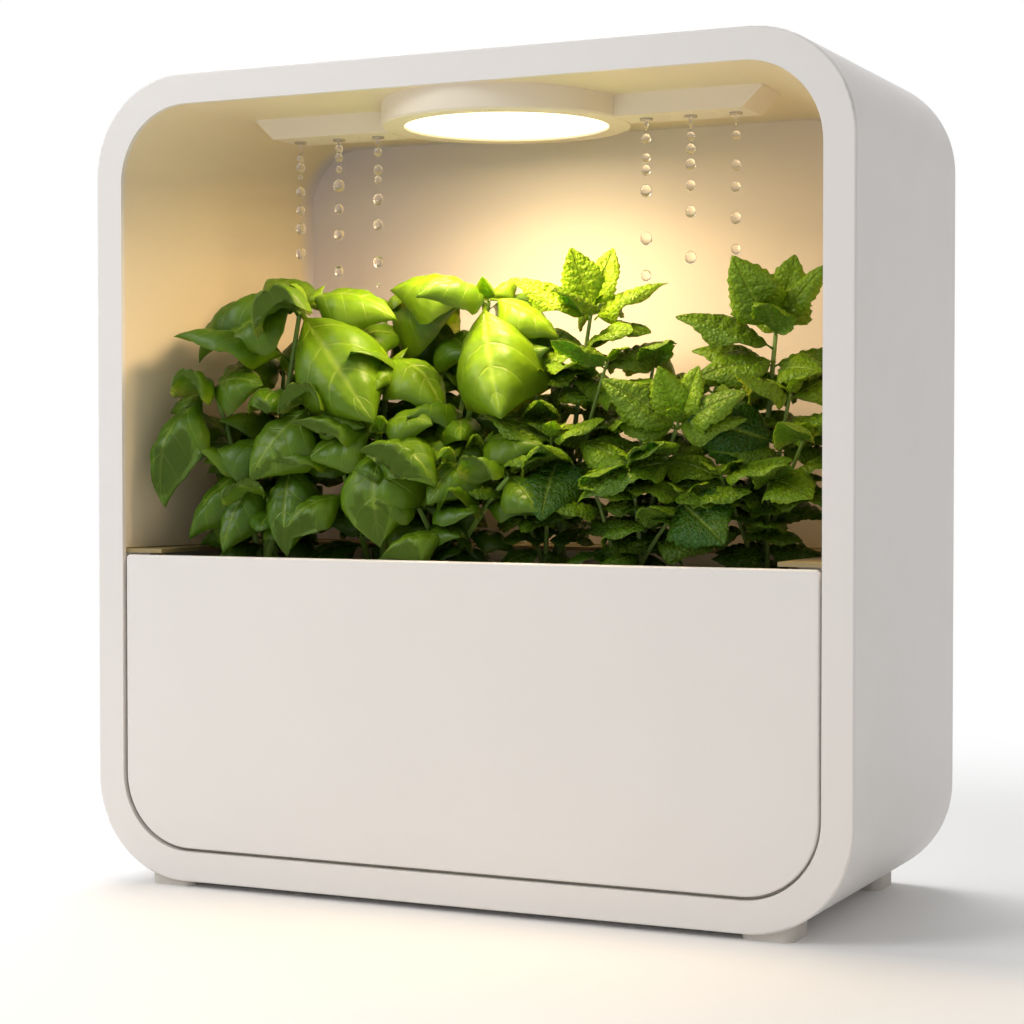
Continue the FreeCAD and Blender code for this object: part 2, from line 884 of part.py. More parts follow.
def pump_housing():
    start = pump_front_y() + pump_cover_thickness
    chamber_end = start + pump_chamber_depth
    motor_end = chamber_end + pump_motor_depth
    body = rod(pump_radius, (pump_x, start, spigot_z), (pump_x, pump_back_y(), spigot_z))
    x, y, z = pump_outlet()
    outlet = rod(spigot_radius, (x, y, spigot_z), (x, y, z))
    body = body.fuse(outlet)
    chamber = rod(pump_chamber_radius, (pump_x, start, spigot_z), (pump_x, chamber_end, spigot_z))
    rotor_space = rod(
        rotor_radius + rotor_clearance, (pump_x, chamber_end, spigot_z), (pump_x, motor_end, spigot_z)
    )
    bore = rod(spigot_bore, (x, y, spigot_z), (x, y, z))
    shaft_seat = rod(shaft_radius, (pump_x, motor_end, spigot_z), (pump_x, pump_back_y() - shaft_end_wall, spigot_z))
    return body.cut(Part.makeCompound([chamber])).cut(rotor_space).cut(bore).cut(shaft_seat).removeSplitter()


def pump_shaft():
    start = pump_front_y() + pump_cover_thickness + closing_gap
    return rod(shaft_radius, (pump_x, start, spigot_z), (pump_x, pump_back_y() - shaft_end_wall, spigot_z))


def pump_impeller():
    """Blades on a disc, with the magnet rotor behind."""
    chamber_end = pump_front_y() + pump_cover_thickness + pump_chamber_depth
    disc_back = chamber_end - rotor_clearance
    disc_front = disc_back - impeller_disc_thickness
    blade_front = pump_front_y() + pump_cover_thickness + rotor_clearance
    rotor_end = chamber_end + pump_motor_depth - rotor_clearance
    disc = rod(impeller_radius, (pump_x, disc_front, spigot_z), (pump_x, disc_back, spigot_z))
    hub = rod(impeller_hub_radius, (pump_x, blade_front, spigot_z), (pump_x, disc_front, spigot_z))
    rotor = rod(rotor_radius, (pump_x, disc_back, spigot_z), (pump_x, rotor_end, spigot_z))
    blades = []
    for i in range(impeller_blades):
        blade = block(
            impeller_hub_radius / 2,
            impeller_radius,
            blade_front,
            disc_front,
            -impeller_blade_thickness / 2,
            impeller_blade_thickness / 2,
        )
        blade.rotate(Vector(0, 0, 0), BACK, i * 360 / impeller_blades)
        blades.append(blade.translated(Vector(pump_x, 0, spigot_z)))
    wheel = disc.multiFuse([hub, rotor] + blades)
    bore = rod(shaft_radius + shaft_clearance, (pump_x, front_y, spigot_z), (pump_x, back_y, spigot_z))
    return wheel.cut(bore).removeSplitter()


def riser_hose():
    """From the pump's outlet up behind the back wall to the tee over the ceiling."""
    x, y, z = pump_outlet()
    points = [
        (x, y, z),
        (x, y, z + hose_rise),
        (0, riser_y(), z + hose_rise + hose_shift_height),
        (0, riser_y(), tee_low()),
    ]
    return hose("riser_hose", points)


def hose_tee():
    """A tee with one leg down on the riser and one to each side."""
    y, z = riser_y(), feed_z()
    leg = rod(hose_radius, (0, y, tee_low()), (0, y, z))
    arms = rod(hose_radius, (-fitting_length, y, z), (fitting_length, y, z))
    leg_bore = rod(hose_bore, (0, y, tee_low()), (0, y, z))
    arm_bore = rod(hose_bore, (-fitting_length, y, z), (fitting_length, y, z))
    return leg.fuse(arms).cut(leg_bore).cut(arm_bore).removeSplitter()


def feed_hose():
    """From the tee's right arm forward over the ceiling to the elbow on the bar's spigot."""
    points = [
        (fitting_length, riser_y(), feed_z()),
        (feed_x(), riser_y(), feed_z()),
        (feed_x(), bar_y() + fitting_length, feed_z()),
    ]
    return hose("feed_hose", points)


def feed_elbow():
    """The elbow that turns the feed hose down into the bar's spigot."""
    x, y = feed_x(), bar_y()
    body = rod(fitting_radius, (x, y, feed_low()), (x, y, feed_z() + hose_radius))
    arm = rod(hose_radius, (x, y, feed_z()), (x, y + fitting_length, feed_z()))
    down = rod(hose_bore, (x, y, feed_low()), (x, y, feed_z()))
    across = rod(hose_bore, (x, y, feed_z()), (x, y + fitting_length, feed_z()))
    return body.fuse(arm).cut(down).cut(across).removeSplitter()


# Drawer: front, tank, slides and runners


def drawer_front():
    corner = opening_corner - drawer_gap
    half = opening_half - drawer_gap
    panel = slab(
        outline(half, panel_low, panel_high, corner, drawer_front_top_corner, panel_front_y),
        drawer_front_thickness,
    )
    front_edges = [e for e in panel.Edges if e.BoundBox.YMax < panel_front_y + drawer_front_round]
    return panel.makeFillet(drawer_front_round, front_edges)


def reservoir_tank():
    depth = tank_back_y - panel_back_y
    body = slab(
        outline(tank_half, tank_low, tank_high + tank_corner, tank_corner, tank_corner / 2, panel_back_y), depth
    )
    corner = tank_corner - tank_wall
    hollow = slab(
        outline(
            tank_half - tank_wall,
            tank_low + tank_wall,
            tank_high + tank_corner,
            corner,
            corner / 2,
            panel_back_y + tank_wall,
        ),
        depth - 2 * tank_wall,
    )
    body = body.cut(hollow)
    body = body.cut(block(-FAR, FAR, -FAR, FAR, tank_high, FAR))
    inside = tank_back_y - tank_wall
    seal_hole = rod(seal_radius, (pump_x, inside, spigot_z), (pump_x, tank_back_y, spigot_z))
    return body.cut(seal_hole).removeSplitter()


def slide_span():
    return panel_back_y + slide_end_gap, tank_back_y - slide_end_gap


def tank_slide():
    """The strip on the tank's right side that runs in the runner."""
    y0, y1 = slide_span()
    z = tank_low + slide_rise
    return block(tank_half, tank_half + slide_depth, y0, y1, z, z + slide_height)


def drawer_runner():
    """The channel on the bay's right wall."""
    y0, y1 = bay_front_y + bay_wall, bay_back_y
    z = tank_low + slide_rise
    gap = sliding_clearance
    x0 = tank_half + slide_depth / 3
    channel = block(x0, bay_half, y0, y1, z - gap - runner_wall, z + slide_height + gap + runner_wall)
    groove_end = tank_half + slide_depth + gap
    return channel.cut(block(x0, groove_end, y0, y1, z - gap, z + slide_height + gap))


def float_place():
    return float_x, tank_back_y - tank_wall - float_wall_gap - float_radius


def float_guide():
    """A stem on the tank's floor with a cap that keeps the float on."""
    x, y = float_place()
    floor_z = tank_low + tank_wall
    base = rod(float_base_radius, (x, y, floor_z), (x, y, floor_z + float_base_height))
    stem = rod(float_stem_radius, (x, y, floor_z), (x, y, floor_z + float_stem_height))
    cap_z = floor_z + float_stem_height
    cap = rod(float_stem_radius * 2, (x, y, cap_z), (x, y, cap_z + float_stem_radius))
    return joined([base, stem, cap])


def level_float():
    x, y = float_place()
    low = tank_low + tank_wall + float_base_height + sliding_clearance
    body = rod(float_radius, (x, y, low), (x, y, low + float_height))
    body = body.makeChamfer(float_bevel, [e for e in body.Edges if e.Curve.TypeId == "Part::GeomCircle"])
    return body.cut(rod(float_stem_radius + float_clearance, (x, y, low), (x, y, low + float_height)))


def level_sensor():
    z = tank_low + tank_wall
    half = sensor_width / 2
    return block(
        float_x - half, float_x + half, bulkhead_back_y, bulkhead_back_y + sensor_thickness, z, z + sensor_height
    )


# Tray, cups and plugs


def cup_places():
    """Two staggered rows: odd cups stand forward, even ones back."""
    places = []
    for i in range(cup_count):
        x = (i - (cup_count - 1) / 2) * cup_pitch
        y = cup_row_y + (cup_stagger / 2 if i % 2 else -cup_stagger / 2)
        places.append((x, y))
    return places


def grow_tray():
    plate = block(-tray_half, tray_half, tray_front_y, tray_back_y, tank_high, tray_top)
    rim = block(-tray_half, tray_half, tray_front_y, tray_back_y, tray_top, tray_top + tray_rim_height)
    wall = tray_rim_wall
    rim = rim.cut(
        block(-tray_half + wall, tray_half - wall, tray_front_y + wall, tray_back_y - wall, tray_top, FAR)
    )
    skirt_half = tank_half - tank_wall - tray_skirt_gap
    skirt_front = panel_back_y + tank_wall + tray_skirt_gap
    skirt_back = tank_back_y - tank_wall - tray_skirt_gap
    skirt_low = tank_high - tray_skirt_depth
    skirt = block(-skirt_half, skirt_half, skirt_front, skirt_back, skirt_low, tank_high)
    skirt = skirt.cut(
        block(
            -skirt_half + wall, skirt_half - wall, skirt_front + wall, skirt_back - wall, skirt_low, tank_high
        )
    )
    port_y = tray_front_y + fill_port_inset
    collar_top = tray_top + fill_port_collar_height
    collar = rod(
        fill_port_radius + fill_port_collar, (fill_port_x, port_y, tray_top), (fill_port_x, port_y, collar_top)
    )
    tray = plate.multiFuse([rim, skirt, collar])
    cuts = [rod(fill_port_radius, (fill_port_x, port_y, tank_high), (fill_port_x, port_y, collar_top))]
    for x, y in cup_places():
        cuts.append(rod(cup_top_radius + cup_seat_clearance, (x, y, tank_high), (x, y, tray_top)))
    return tray.cut(Part.makeCompound(cuts)).removeSplitter()


def tapered_prism(x, y, low, high, low_radius, high_radius):
    """A many-sided tapered body, as the moulded baskets and their plugs have."""
    wires = []
    for z, radius in ((low, low_radius), (high, high_radius)):
        angles = [2 * math.pi * (i + 0.5) / cup_sides for i in range(cup_sides)]
        ring = [Vector(x + radius * math.cos(a), y + radius * math.sin(a), z) for a in angles]
        wires.append(Part.makePolygon(ring + ring[:1]))
    return Part.makeLoft(wires, True, True)


def net_cup(x, y):
    """A tapered basket with a rim, slotted walls and a drain hole in its floor."""
    body = tapered_prism(x, y, cup_bottom, tray_top, cup_bottom_radius, cup_top_radius)
    rim = rod(cup_rim_radius, (x, y, tray_top), (x, y, tray_top + cup_rim_thickness))
    hollow = tapered_prism(
        x, y, cup_bottom + cup_wall, tray_top + cup_rim_thickness,
        cup_bottom_radius - cup_wall, cup_top_radius - cup_wall,
    )
    cup = body.fuse(rim).cut(hollow)
    slot_low = cup_bottom + cup_wall * 3
    slot_high = tray_top - cup_wall * 5
    slots = []
    for i in range(cup_slots):
        slot = block(0, cup_rim_radius, -cup_slot_width / 2, cup_slot_width / 2, slot_low, slot_high)
        slot.rotate(Vector(0, 0, 0), UP, i * 360 / cup_slots)
        slots.append(slot.translated(Vector(x, y, 0)))
    drain = rod(cup_bottom_radius / 3, (x, y, cup_bottom), (x, y, slot_low))
    return cup.cut(Part.makeCompound(slots)).cut(drain).removeSplitter()


def plug_top():
    return tray_top + cup_rim_thickness - plug_drop


def grow_plugs():
    """The sponge plugs that the stems stand in."""
    low = cup_bottom + cup_wall
    slope = (cup_top_radius - cup_bottom_radius) / (cup_height + cup_rim_thickness - cup_wall)
    bottom = cup_bottom_radius - cup_wall - plug_clearance
    top = bottom + slope * (plug_top() - low)
    plugs = [tapered_prism(x, y, low, plug_top(), bottom, top) for x, y in cup_places()]
    return Part.makeCompound(plugs)


# Plants


def solid_of(corners):
    """A closed solid from the corner lists of its flat faces."""
    faces = [Part.Face(Part.makePolygon(points + points[:1])) for points in corners]
    return Part.Solid(Part.Shell(faces))


def leaf(length, width, arch):
    """One folded blade along +X from the origin, arched up by the given rise, its edges drooping."""
    down = Vector(0, 0, -leaf_thickness)
    base = Vector(0, 0, leaf_thickness / 2)
    tip = Vector(length, 0, -leaf_tip_drop * arch)
    rows = []
    for share in leaf_stations:
        rise = 4 * arch * share * (1 - share)
        edge = rise - leaf_fold * width / 2
        x = length * share
        rows.append([Vector(x, width / 2, edge), Vector(x, 0, rise), Vector(x, -width / 2, edge)])
    top = []
    for side in (0, 1):
        near, far = rows[0], rows[1]
        top.append([base, near[side + 1], near[side]])
        top.append([near[side], near[side + 1], far[side]])
        top.append([near[side + 1], far[side + 1], far[side]])
        top.append([far[side], far[side + 1], tip])
    rim = [base, rows[0][2], rows[1][2], tip, rows[1][0], rows[0][0]]
    under = [[point + down for point in reversed(points)] for points in top]
    sides = []
    for start, end in zip(rim, rim[1:] + rim[:1]):
        sides.append([end, start, start + down, end + down])
    return solid_of(top + under + sides)


def plant(x, y, height, stem_radius, pairs, length, width, first, droop, phase):
    """A stem with opposite pairs of leaves, each pair turned a quarter from the one below."""
    foot_z = plug_top()
    stem = Part.makeCone(stem_radius, stem_radius * stem_taper, height, Vector(x, y, foot_z))
    pieces = []
    for tier in range(pairs):
        share = tier / (pairs - 1)
        z = foot_z + first + (height - first - 1) * share
        size = 1 - top_leaf_shrink * share**1.6
        for side in (0, 180):
            blade = leaf(length * size, width * size, length * size * leaf_arch)
            blade.rotate(Vector(0, 0, 0), Vector(0, 1, 0), droop - top_leaf_lift * share)
            blade.rotate(Vector(0, 0, 0), UP, phase + 90 * (tier % 2) + side)
            pieces.append(blade.translated(Vector(x, y, z)))
    return stem.multiFuse(pieces).removeSplitter()


def plants():
    made = {}
    for i, (x, y) in enumerate(cup_places()):
        outward = 1 if i % 2 else -1
        if i < cup_count // 2:
            made[f"basil_{i + 1}"] = plant(
                x, y, basil_height - basil_step * (i % 2), basil_stem_radius, basil_leaf_pairs,
                basil_leaf_length, basil_leaf_width, basil_first_leaf, basil_droop, 90 + basil_turn * outward,
            )
        else:
            made[f"mint_{i + 1 - cup_count // 2}"] = plant(
                x, y, mint_height - mint_step * (i % 2), mint_stem_radius, mint_leaf_pairs,
                mint_leaf_length, mint_leaf_width, mint_first_leaf + mint_first_leaf_step * (i % 2),
                mint_droop, 90 + mint_turn * outward,
            )
    return made


def all_parts():
    made = {
        "outer_shell": outer_shell(),
        "growing_liner": growing_liner(),
        "drawer_bay": drawer_bay(),
        "rear_cover": rear_cover(),
        "rear_cover_screws": rear_cover_screws(),
        "control_board": control_board(),
        "power_inlet": power_inlet(),
        "power_button": power_button(),
        "tact_switch": tact_switch(),
        "lamp_housing": lamp_housing(),
        "lamp_diffuser": lamp_diffuser(),
        "led_board": led_board(),
        "led_chips": led_chips(),
        "rain_bar_right": rain_bar(),
        "rain_bar_left": mirrored(rain_bar()),
        "rain_bar_lid_right": rain_bar_lid(),
        "rain_bar_lid_left": mirrored(rain_bar_lid()),
        "drip_nozzles": drip_nozzles(),
        "riser_hose": riser_hose(),
        "hose_tee": hose_tee(),
        "feed_hose_right": feed_hose(),
        "feed_hose_left": mirrored(feed_hose()),
        "feed_elbow_right": feed_elbow(),
        "feed_elbow_left": mirrored(feed_elbow()),
        "suction_spigot": suction_spigot(),
        "pump_cover": pump_cover(),
        "pump_housing": pump_housing(),
        "pump_shaft": pump_shaft(),
        "pump_impeller": pump_impeller(),
        "level_sensor": level_sensor(),
        "drawer_runner_right": drawer_runner(),
        "drawer_runner_left": mirrored(drawer_runner()),
        "drawer_front": drawer_front(),
        "reservoir_tank": reservoir_tank(),
        "tank_slide_right": tank_slide(),
        "tank_slide_left": mirrored(tank_slide()),
        "dock_seal": dock_seal(),
        "float_guide": float_guide(),
        "level_float": level_float(),
        "grow_tray": grow_tray(),
        "grow_plugs": grow_plugs(),
    }
    made.update(feet())
    for i, (x, y) in enumerate(cup_places()):
        made[f"net_cup_{i + 1}"] = net_cup(x, y)
    made.update(plants())
    return made


def main():
    os.makedirs("parts", exist_ok=True)
    for name, shape in all_parts().items():
        if not shape.isValid():
            print("not valid:", name)
        print(f"{name:22s} solids {len(shape.Solids):3d} volume {shape.Volume / 1000:9.2f} cm3")
        shape.exportStep(f"parts/{name}.step")


main()
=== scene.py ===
# %% [markdown]
# A countertop herb garden: a rounded cabinet with a ceiling lamp, two drip bars, a pull-out water
# drawer and a tray of six potted herbs. The construction model gives every hard piece its shape, so
# this lesson starts from it and adds what it can't hold: finishes, lamp light, leaves and water.

# %% Load the construction model
import json
import math
import random
from dataclasses import dataclass

import bmesh
import bpy
from mathutils import Matrix, Vector

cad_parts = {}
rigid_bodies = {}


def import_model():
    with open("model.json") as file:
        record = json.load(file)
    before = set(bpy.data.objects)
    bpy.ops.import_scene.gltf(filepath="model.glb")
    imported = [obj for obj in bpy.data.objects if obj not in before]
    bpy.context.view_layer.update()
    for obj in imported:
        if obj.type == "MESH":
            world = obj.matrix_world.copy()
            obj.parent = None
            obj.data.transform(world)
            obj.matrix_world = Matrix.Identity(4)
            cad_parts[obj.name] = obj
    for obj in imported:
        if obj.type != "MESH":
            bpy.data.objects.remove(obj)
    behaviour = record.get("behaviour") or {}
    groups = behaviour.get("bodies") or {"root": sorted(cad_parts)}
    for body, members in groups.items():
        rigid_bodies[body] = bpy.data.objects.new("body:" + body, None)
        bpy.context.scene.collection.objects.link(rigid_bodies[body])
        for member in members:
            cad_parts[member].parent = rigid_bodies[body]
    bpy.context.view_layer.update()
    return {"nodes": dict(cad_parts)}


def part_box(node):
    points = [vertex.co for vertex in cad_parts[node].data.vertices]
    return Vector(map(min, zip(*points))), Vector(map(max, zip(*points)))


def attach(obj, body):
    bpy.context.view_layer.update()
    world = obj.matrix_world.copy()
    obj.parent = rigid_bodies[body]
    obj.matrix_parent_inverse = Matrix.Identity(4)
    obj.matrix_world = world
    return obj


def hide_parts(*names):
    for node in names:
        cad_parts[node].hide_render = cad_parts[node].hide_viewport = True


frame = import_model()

MM = 0.001
UP = Vector((0, 0, 1))
nodes = frame["nodes"]

# %% [markdown]
# The camera stands to the right of the garden's front, just above its middle, and looks a touch
# downwards through a long lens, so the upright edges stay almost parallel.

# %% Camera
camera_place = Vector((493.6, -1047.7, 217.6)) * MM
camera_turn = math.radians(25.48)
camera_dip = math.radians(1.43)
camera_data = bpy.data.cameras.new("camera")
camera_data.lens = 80.4
camera_data.sensor_width = 36.0
camera = bpy.data.objects.new("camera", camera_data)
camera.location = camera_place
camera.rotation_euler = (math.pi / 2 - camera_dip, 0, camera_turn)
bpy.context.scene.collection.objects.link(camera)
bpy.context.scene.camera = camera
bpy.context.scene.view_settings.view_transform = "Standard"
print("camera", [round(c, 3) for c in camera_place])

# %% [markdown]
# Materials are small node trees, so a few short helpers keep them readable. Each one reads Object
# coordinates, which stay fixed to the piece, so grain never slides when the drawer moves.


# %% Helpers for materials
def new_material(name):
    material = bpy.data.materials.new(name)
    material.use_nodes = True
    tree = material.node_tree
    return material, tree, tree.nodes["Principled BSDF"]


def put(tree, node, inputs):
    """Sets inputs, by name or number, to plain values or links them to other nodes' outputs."""
    for key, value in inputs.items():
        socket = node.inputs[key]
        if isinstance(value, bpy.types.NodeSocket):
            tree.links.new(value, socket)
        else:
            socket.default_value = (*value, 1) if socket.type == "RGBA" else value


def add(tree, kind, inputs=None, **settings):
    node = tree.nodes.new(kind)
    for key, value in settings.items():
        setattr(node, key, value)
    put(tree, node, inputs or {})
    return node


def object_place(tree):
    return add(tree, "ShaderNodeTexCoord").outputs["Object"]


def noise(tree, scale, detail=3.0, roughness=0.5):
    """A noise texture whose scale is in waves per metre."""
    inputs = {"Scale": scale, "Detail": detail, "Roughness": roughness}
    inputs["Vector"] = object_place(tree)
    return add(tree, "ShaderNodeTexNoise", inputs).outputs["Fac"]


def ramp(tree, factor, stops):
    """Colours along a scale, as (place, colour) from nought to one."""
    node = add(tree, "ShaderNodeValToRGB", {"Fac": factor})
    band = node.color_ramp
    for element, (place, colour) in zip(band.elements, (stops[0], stops[-1])):
        element.position, element.color = place, (*colour, 1)
    for place, colour in stops[1:-1]:
        band.elements.new(place).color = (*colour, 1)
    return node.outputs["Color"]


def bump(tree, height, distance, strength=1.0):
    inputs = {"Strength": strength, "Distance": distance, "Height": height}
    return add(tree, "ShaderNodeBump", inputs).outputs["Normal"]


def maths(tree, operation, *values, clamp=False):
    inputs = dict(enumerate(values))
    node = add(tree, "ShaderNodeMath", inputs, operation=operation, use_clamp=clamp)
    return node.outputs["Value"]


def mixed(tree, factor, first, second):
    """Two colours, plain or from a node, blended. A colour mix has them on inputs 6 and 7."""
    node = add(tree, "ShaderNodeMix", {0: factor}, data_type="RGBA")
    put(tree, node, {6: first, 7: second})
    return node.outputs[2]


def eased(tree, value, start, end):
    """Nought up to start, one from end on, and a smooth rise between them."""
    inputs = {"From Min": start, "From Max": end, "Value": value}
    node = add(tree, "ShaderNodeMapRange", inputs, interpolation_type="SMOOTHSTEP")
    return node.outputs["Result"]


def length(tree, vector):
    return add(tree, "ShaderNodeVectorMath", {0: vector}, operation="LENGTH").outputs["Value"]


def seen_directly(tree):
    """One for rays from the camera, also through glass and off shiny things, else nought."""
    rays = add(tree, "ShaderNodeLightPath").outputs
    seen = maths(tree, "MAXIMUM", rays["Is Camera Ray"], rays["Is Transmission Ray"])
    return maths(tree, "MAXIMUM", seen, rays["Is Glossy Ray"])


def shade(colour, factor):
    return tuple(min(1.0, c * factor) for c in colour)


FINE_GRAIN = 0.02 * MM


def moulded(
    name, colour, roughness, grain=FINE_GRAIN, waves=900.0, coat=0.0, metal=0.0, spread=0.03
):
    """Moulded or ground stock: two close tones, a fine skin and slightly uneven gloss."""
    material, tree, shader = new_material(name)
    cloud = noise(tree, 9.0, 4.0)
    tones = [(0.3, shade(colour, 1 - spread)), (0.7, shade(colour, 1 + spread))]
    dull, bright = (roughness * 0.9,) * 3, (roughness * 1.1,) * 3
    gloss = ramp(tree, noise(tree, 60.0, 5.0), [(0.3, dull), (0.7, bright)])
    put(tree, shader, {
        "Base Color": ramp(tree, cloud, tones), "Roughness": gloss, "Metallic": metal,
        "Normal": bump(tree, noise(tree, waves, 2.0), grain),
        "Coat Weight": coat, "Coat Roughness": 0.2,
    })
    return material


def finish(material, *names):
    """Gives construction pieces their finish, and leaves their shape alone."""
    for name in names:
        piece = nodes[name]
        if not piece.material_slots:
            piece.data.materials.append(material)
        for material_slot in piece.material_slots:
            material_slot.material = material


def stock(name, colour, roughness, *pieces, **skin):
    """Makes one moulded material and gives it to the pieces that follow."""
    finish(moulded(name, colour, roughness, **skin), *pieces)


# %% [markdown]
# The cabinet is satin moulded plastic: a warm off-white with a very fine mould texture and a soft
# sheen. The drawer's bay and the tray are greyer and more matt, the lamp housing and bars warmer.

# %% Cabinet, bay and lamp finishes
stock(
    "cabinet_cream", (0.80, 0.775, 0.755), 0.42, "outer_shell", "rear_cover", "drawer_front",
    waves=1400.0, spread=0.012,
)
stock("bay_cream", (0.62, 0.59, 0.53), 0.6, "drawer_bay", "grow_tray", spread=0.02)
stock(
    "lamp_cream", (0.82, 0.73, 0.58), 0.5, "lamp_housing", "rain_bar_left", "rain_bar_right",
    waves=1200.0, spread=0.01,
)

# %% [markdown]
# The liner's colours are painted light. Its back wall shifts from a cooler grey at the left to a
# warmer tone, its sides and ceiling are a warm buff as painted lamp glow, so the lamp's glow looks
# deeper, and its ledge is painted shade, dark where it lies in the leaves' shade. One material
# tells them apart by side, depth and height.

# %% Liner material
# Painted light: the back wall's shift from a cool grey at the left to a warm tone on the right is
# painted lamp light.
back_painted_cool_light, back_painted_warm_light = (0.66, 0.60, 0.62), (0.78, 0.68, 0.56)
# Painted light: the sides' and ceiling's warm buff is painted lamp glow, and the ledge's dark brown
# is painted shade from the leaves.
side_painted_lamp_glow, ledge_painted_shade = (0.80, 0.68, 0.47), (0.30, 0.23, 0.10)
cool_x, warm_x = -160 * MM, 20 * MM
sides_end_y, back_starts_y = 52 * MM, 64 * MM
ledge_top_z = 170.5 * MM


def liner_material():
    material, tree, shader = new_material("liner_cream")
    place = add(tree, "ShaderNodeSeparateXYZ", {"Vector": object_place(tree)}).outputs
    across = eased(tree, place["X"], cool_x, warm_x)
    back = ramp(tree, across, [(0.0, back_painted_cool_light), (1.0, back_painted_warm_light)])
    depth = eased(tree, place["Y"], sides_end_y, back_starts_y)
    ledge = maths(tree, "LESS_THAN", place["Z"], ledge_top_z)
    put(tree, shader, {
        # This mix lays the painted lamp glow on the sides and ceiling and the painted shade on the
        # ledge over the back wall.
        "Base Color": mixed(tree, ledge, mixed(tree, depth, side_painted_lamp_glow, back), ledge_painted_shade),
        "Normal": bump(tree, noise(tree, 1100.0, 2.0), FINE_GRAIN),
        "Roughness": 0.55,
    })
    return material


finish(liner_material(), "growing_liner")

# %% [markdown]
# The pieces that only show when the drawer is out or the garden is turned round get their own
# stock: pale tank wall, black net cups, rubber, silicone hose and steel.

# %% Small hardware finishes
SIDES = ("left", "right")
feet = [f"foot_{end}_{side}" for end in ("front", "rear") for side in SIDES]
fittings = [
    f"{part}_{side}"
    for part in ("rain_bar_lid", "feed_elbow", "drawer_runner", "tank_slide") for side in SIDES
]
net_cups = [f"net_cup_{i}" for i in range(1, 7)]
hoses = ("riser_hose", "feed_hose_left", "feed_hose_right")
stock(
    "tank_smoke", (0.72, 0.72, 0.70), 0.28, "reservoir_tank", "float_guide", waves=500.0, coat=0.3
)
stock("fitting_grey", (0.36, 0.37, 0.38), 0.4, "hose_tee", "suction_spigot", *fittings)
stock(
    "pump_black", (0.025, 0.025, 0.028), 0.5, "pump_cover", "pump_housing", "level_sensor",
    grain=0.05 * MM,
)
stock("cup_black", (0.02, 0.02, 0.02), 0.55, *net_cups, grain=0.04 * MM)
stock("inlet_black", (0.012, 0.012, 0.013), 0.3, "power_inlet", "tact_switch")
stock("rotor_dark", (0.05, 0.05, 0.055), 0.5, "pump_impeller")
stock("float_white", (0.78, 0.78, 0.76), 0.8, "level_float", grain=0.3 * MM, waves=700.0)
stock("hose_silicone", (0.74, 0.75, 0.73), 0.35, *hoses, grain=0.01 * MM)
stock("foot_rubber", (0.60, 0.57, 0.52), 0.85, *feet, grain=0.06 * MM, waves=1500.0)
stock("seal_rubber", (0.015, 0.015, 0.015), 0.7, "dock_seal", grain=0.04 * MM)
stock("button_grey", (0.40, 0.385, 0.36), 0.45, "power_button")
stock("screw_steel", (0.52, 0.52, 0.53), 0.3, "rear_cover_screws", "pump_shaft", metal=1.0)
stock("nozzle_steel", (0.55, 0.52, 0.48), 0.18, "drip_nozzles", grain=0.005 * MM, metal=1.0)
stock("led_yellow", (0.80, 0.62, 0.18), 0.5, "led_chips")

# %% [markdown]
# Peat sponge is open and crumbly, so it mixes dark browns and takes a deep, coarse bump. The
# circuit boards get solder mask with faint tracks from a brick pattern.


# %% Peat sponge and circuit boards
def peat():
    material, tree, shader = new_material("plug_peat")
    crumbs = noise(tree, 600.0, 6.0, 0.7)
    damp, moist, dry = (0.02, 0.012, 0.006), (0.08, 0.045, 0.022), (0.16, 0.10, 0.05)
    put(tree, shader, {
        "Base Color": ramp(tree, crumbs, [(0.3, damp), (0.55, moist), (0.75, dry)]),
        "Normal": bump(tree, crumbs, 1.2 * MM), "Roughness": 0.95,
    })
    return material


def circuit_board():
    material, tree, shader = new_material("board_green")
    tracks = add(tree, "ShaderNodeTexBrick", {
        "Color1": (0.010, 0.085, 0.030), "Color2": (0.014, 0.110, 0.040),
        "Mortar": (0.030, 0.190, 0.075), "Mortar Size": 0.04, "Scale": 130.0,
        "Vector": object_place(tree),
    }, offset=0.37)
    put(tree, shader, {
        "Base Color": tracks.outputs["Color"], "Roughness": 0.35,
        "Normal": bump(tree, noise(tree, 900.0), FINE_GRAIN),
    })
    return material


finish(peat(), "grow_plugs")
finish(circuit_board(), "control_board", "led_board")

# %% [markdown]
# The lamp's opal disc glows warm white, a little paler in the middle than at its rim. Its light
# comes from a round area lamp just below it, because that is far less grainy than a glowing mesh.


# %% Lamp diffuser
def opal():
    material, tree, shader = new_material("lamp_opal")
    low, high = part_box("lamp_diffuser")
    centre = [(a + b) / 2 for a, b in zip(low, high)]
    radius = (high[0] - low[0]) / 2
    inputs = {"Location": [-c for c in centre], "Vector": object_place(tree)}
    moved = add(tree, "ShaderNodeMapping", inputs, vector_type="POINT").outputs["Vector"]
    share = maths(tree, "DIVIDE", length(tree, moved), radius)
    middle, towards_rim, rim = (1, 0.96, 0.86), (1, 0.93, 0.80), (1, 0.80, 0.56)
    put(tree, shader, {
        "Emission Color": ramp(tree, share, [(0.0, middle), (0.85, towards_rim), (1.0, rim)]),
        "Emission Strength": 1.6, "Base Color": (0.9, 0.88, 0.84), "Roughness": 0.5,
        "Normal": bump(tree, noise(tree, 1500.0), FINE_GRAIN),
    })
    return material


finish(opal(), "lamp_diffuser")


# %% [markdown]
# Leaves are the garden's show. Each kind gets a few leaf shapes: a grid along the leaf and across
# it, bent, cupped and quilted between its veins, then closed into a thin blade. The veins and the
# colour follow the leaf's own UV map, where u runs from stalk to tip and v from edge to edge.


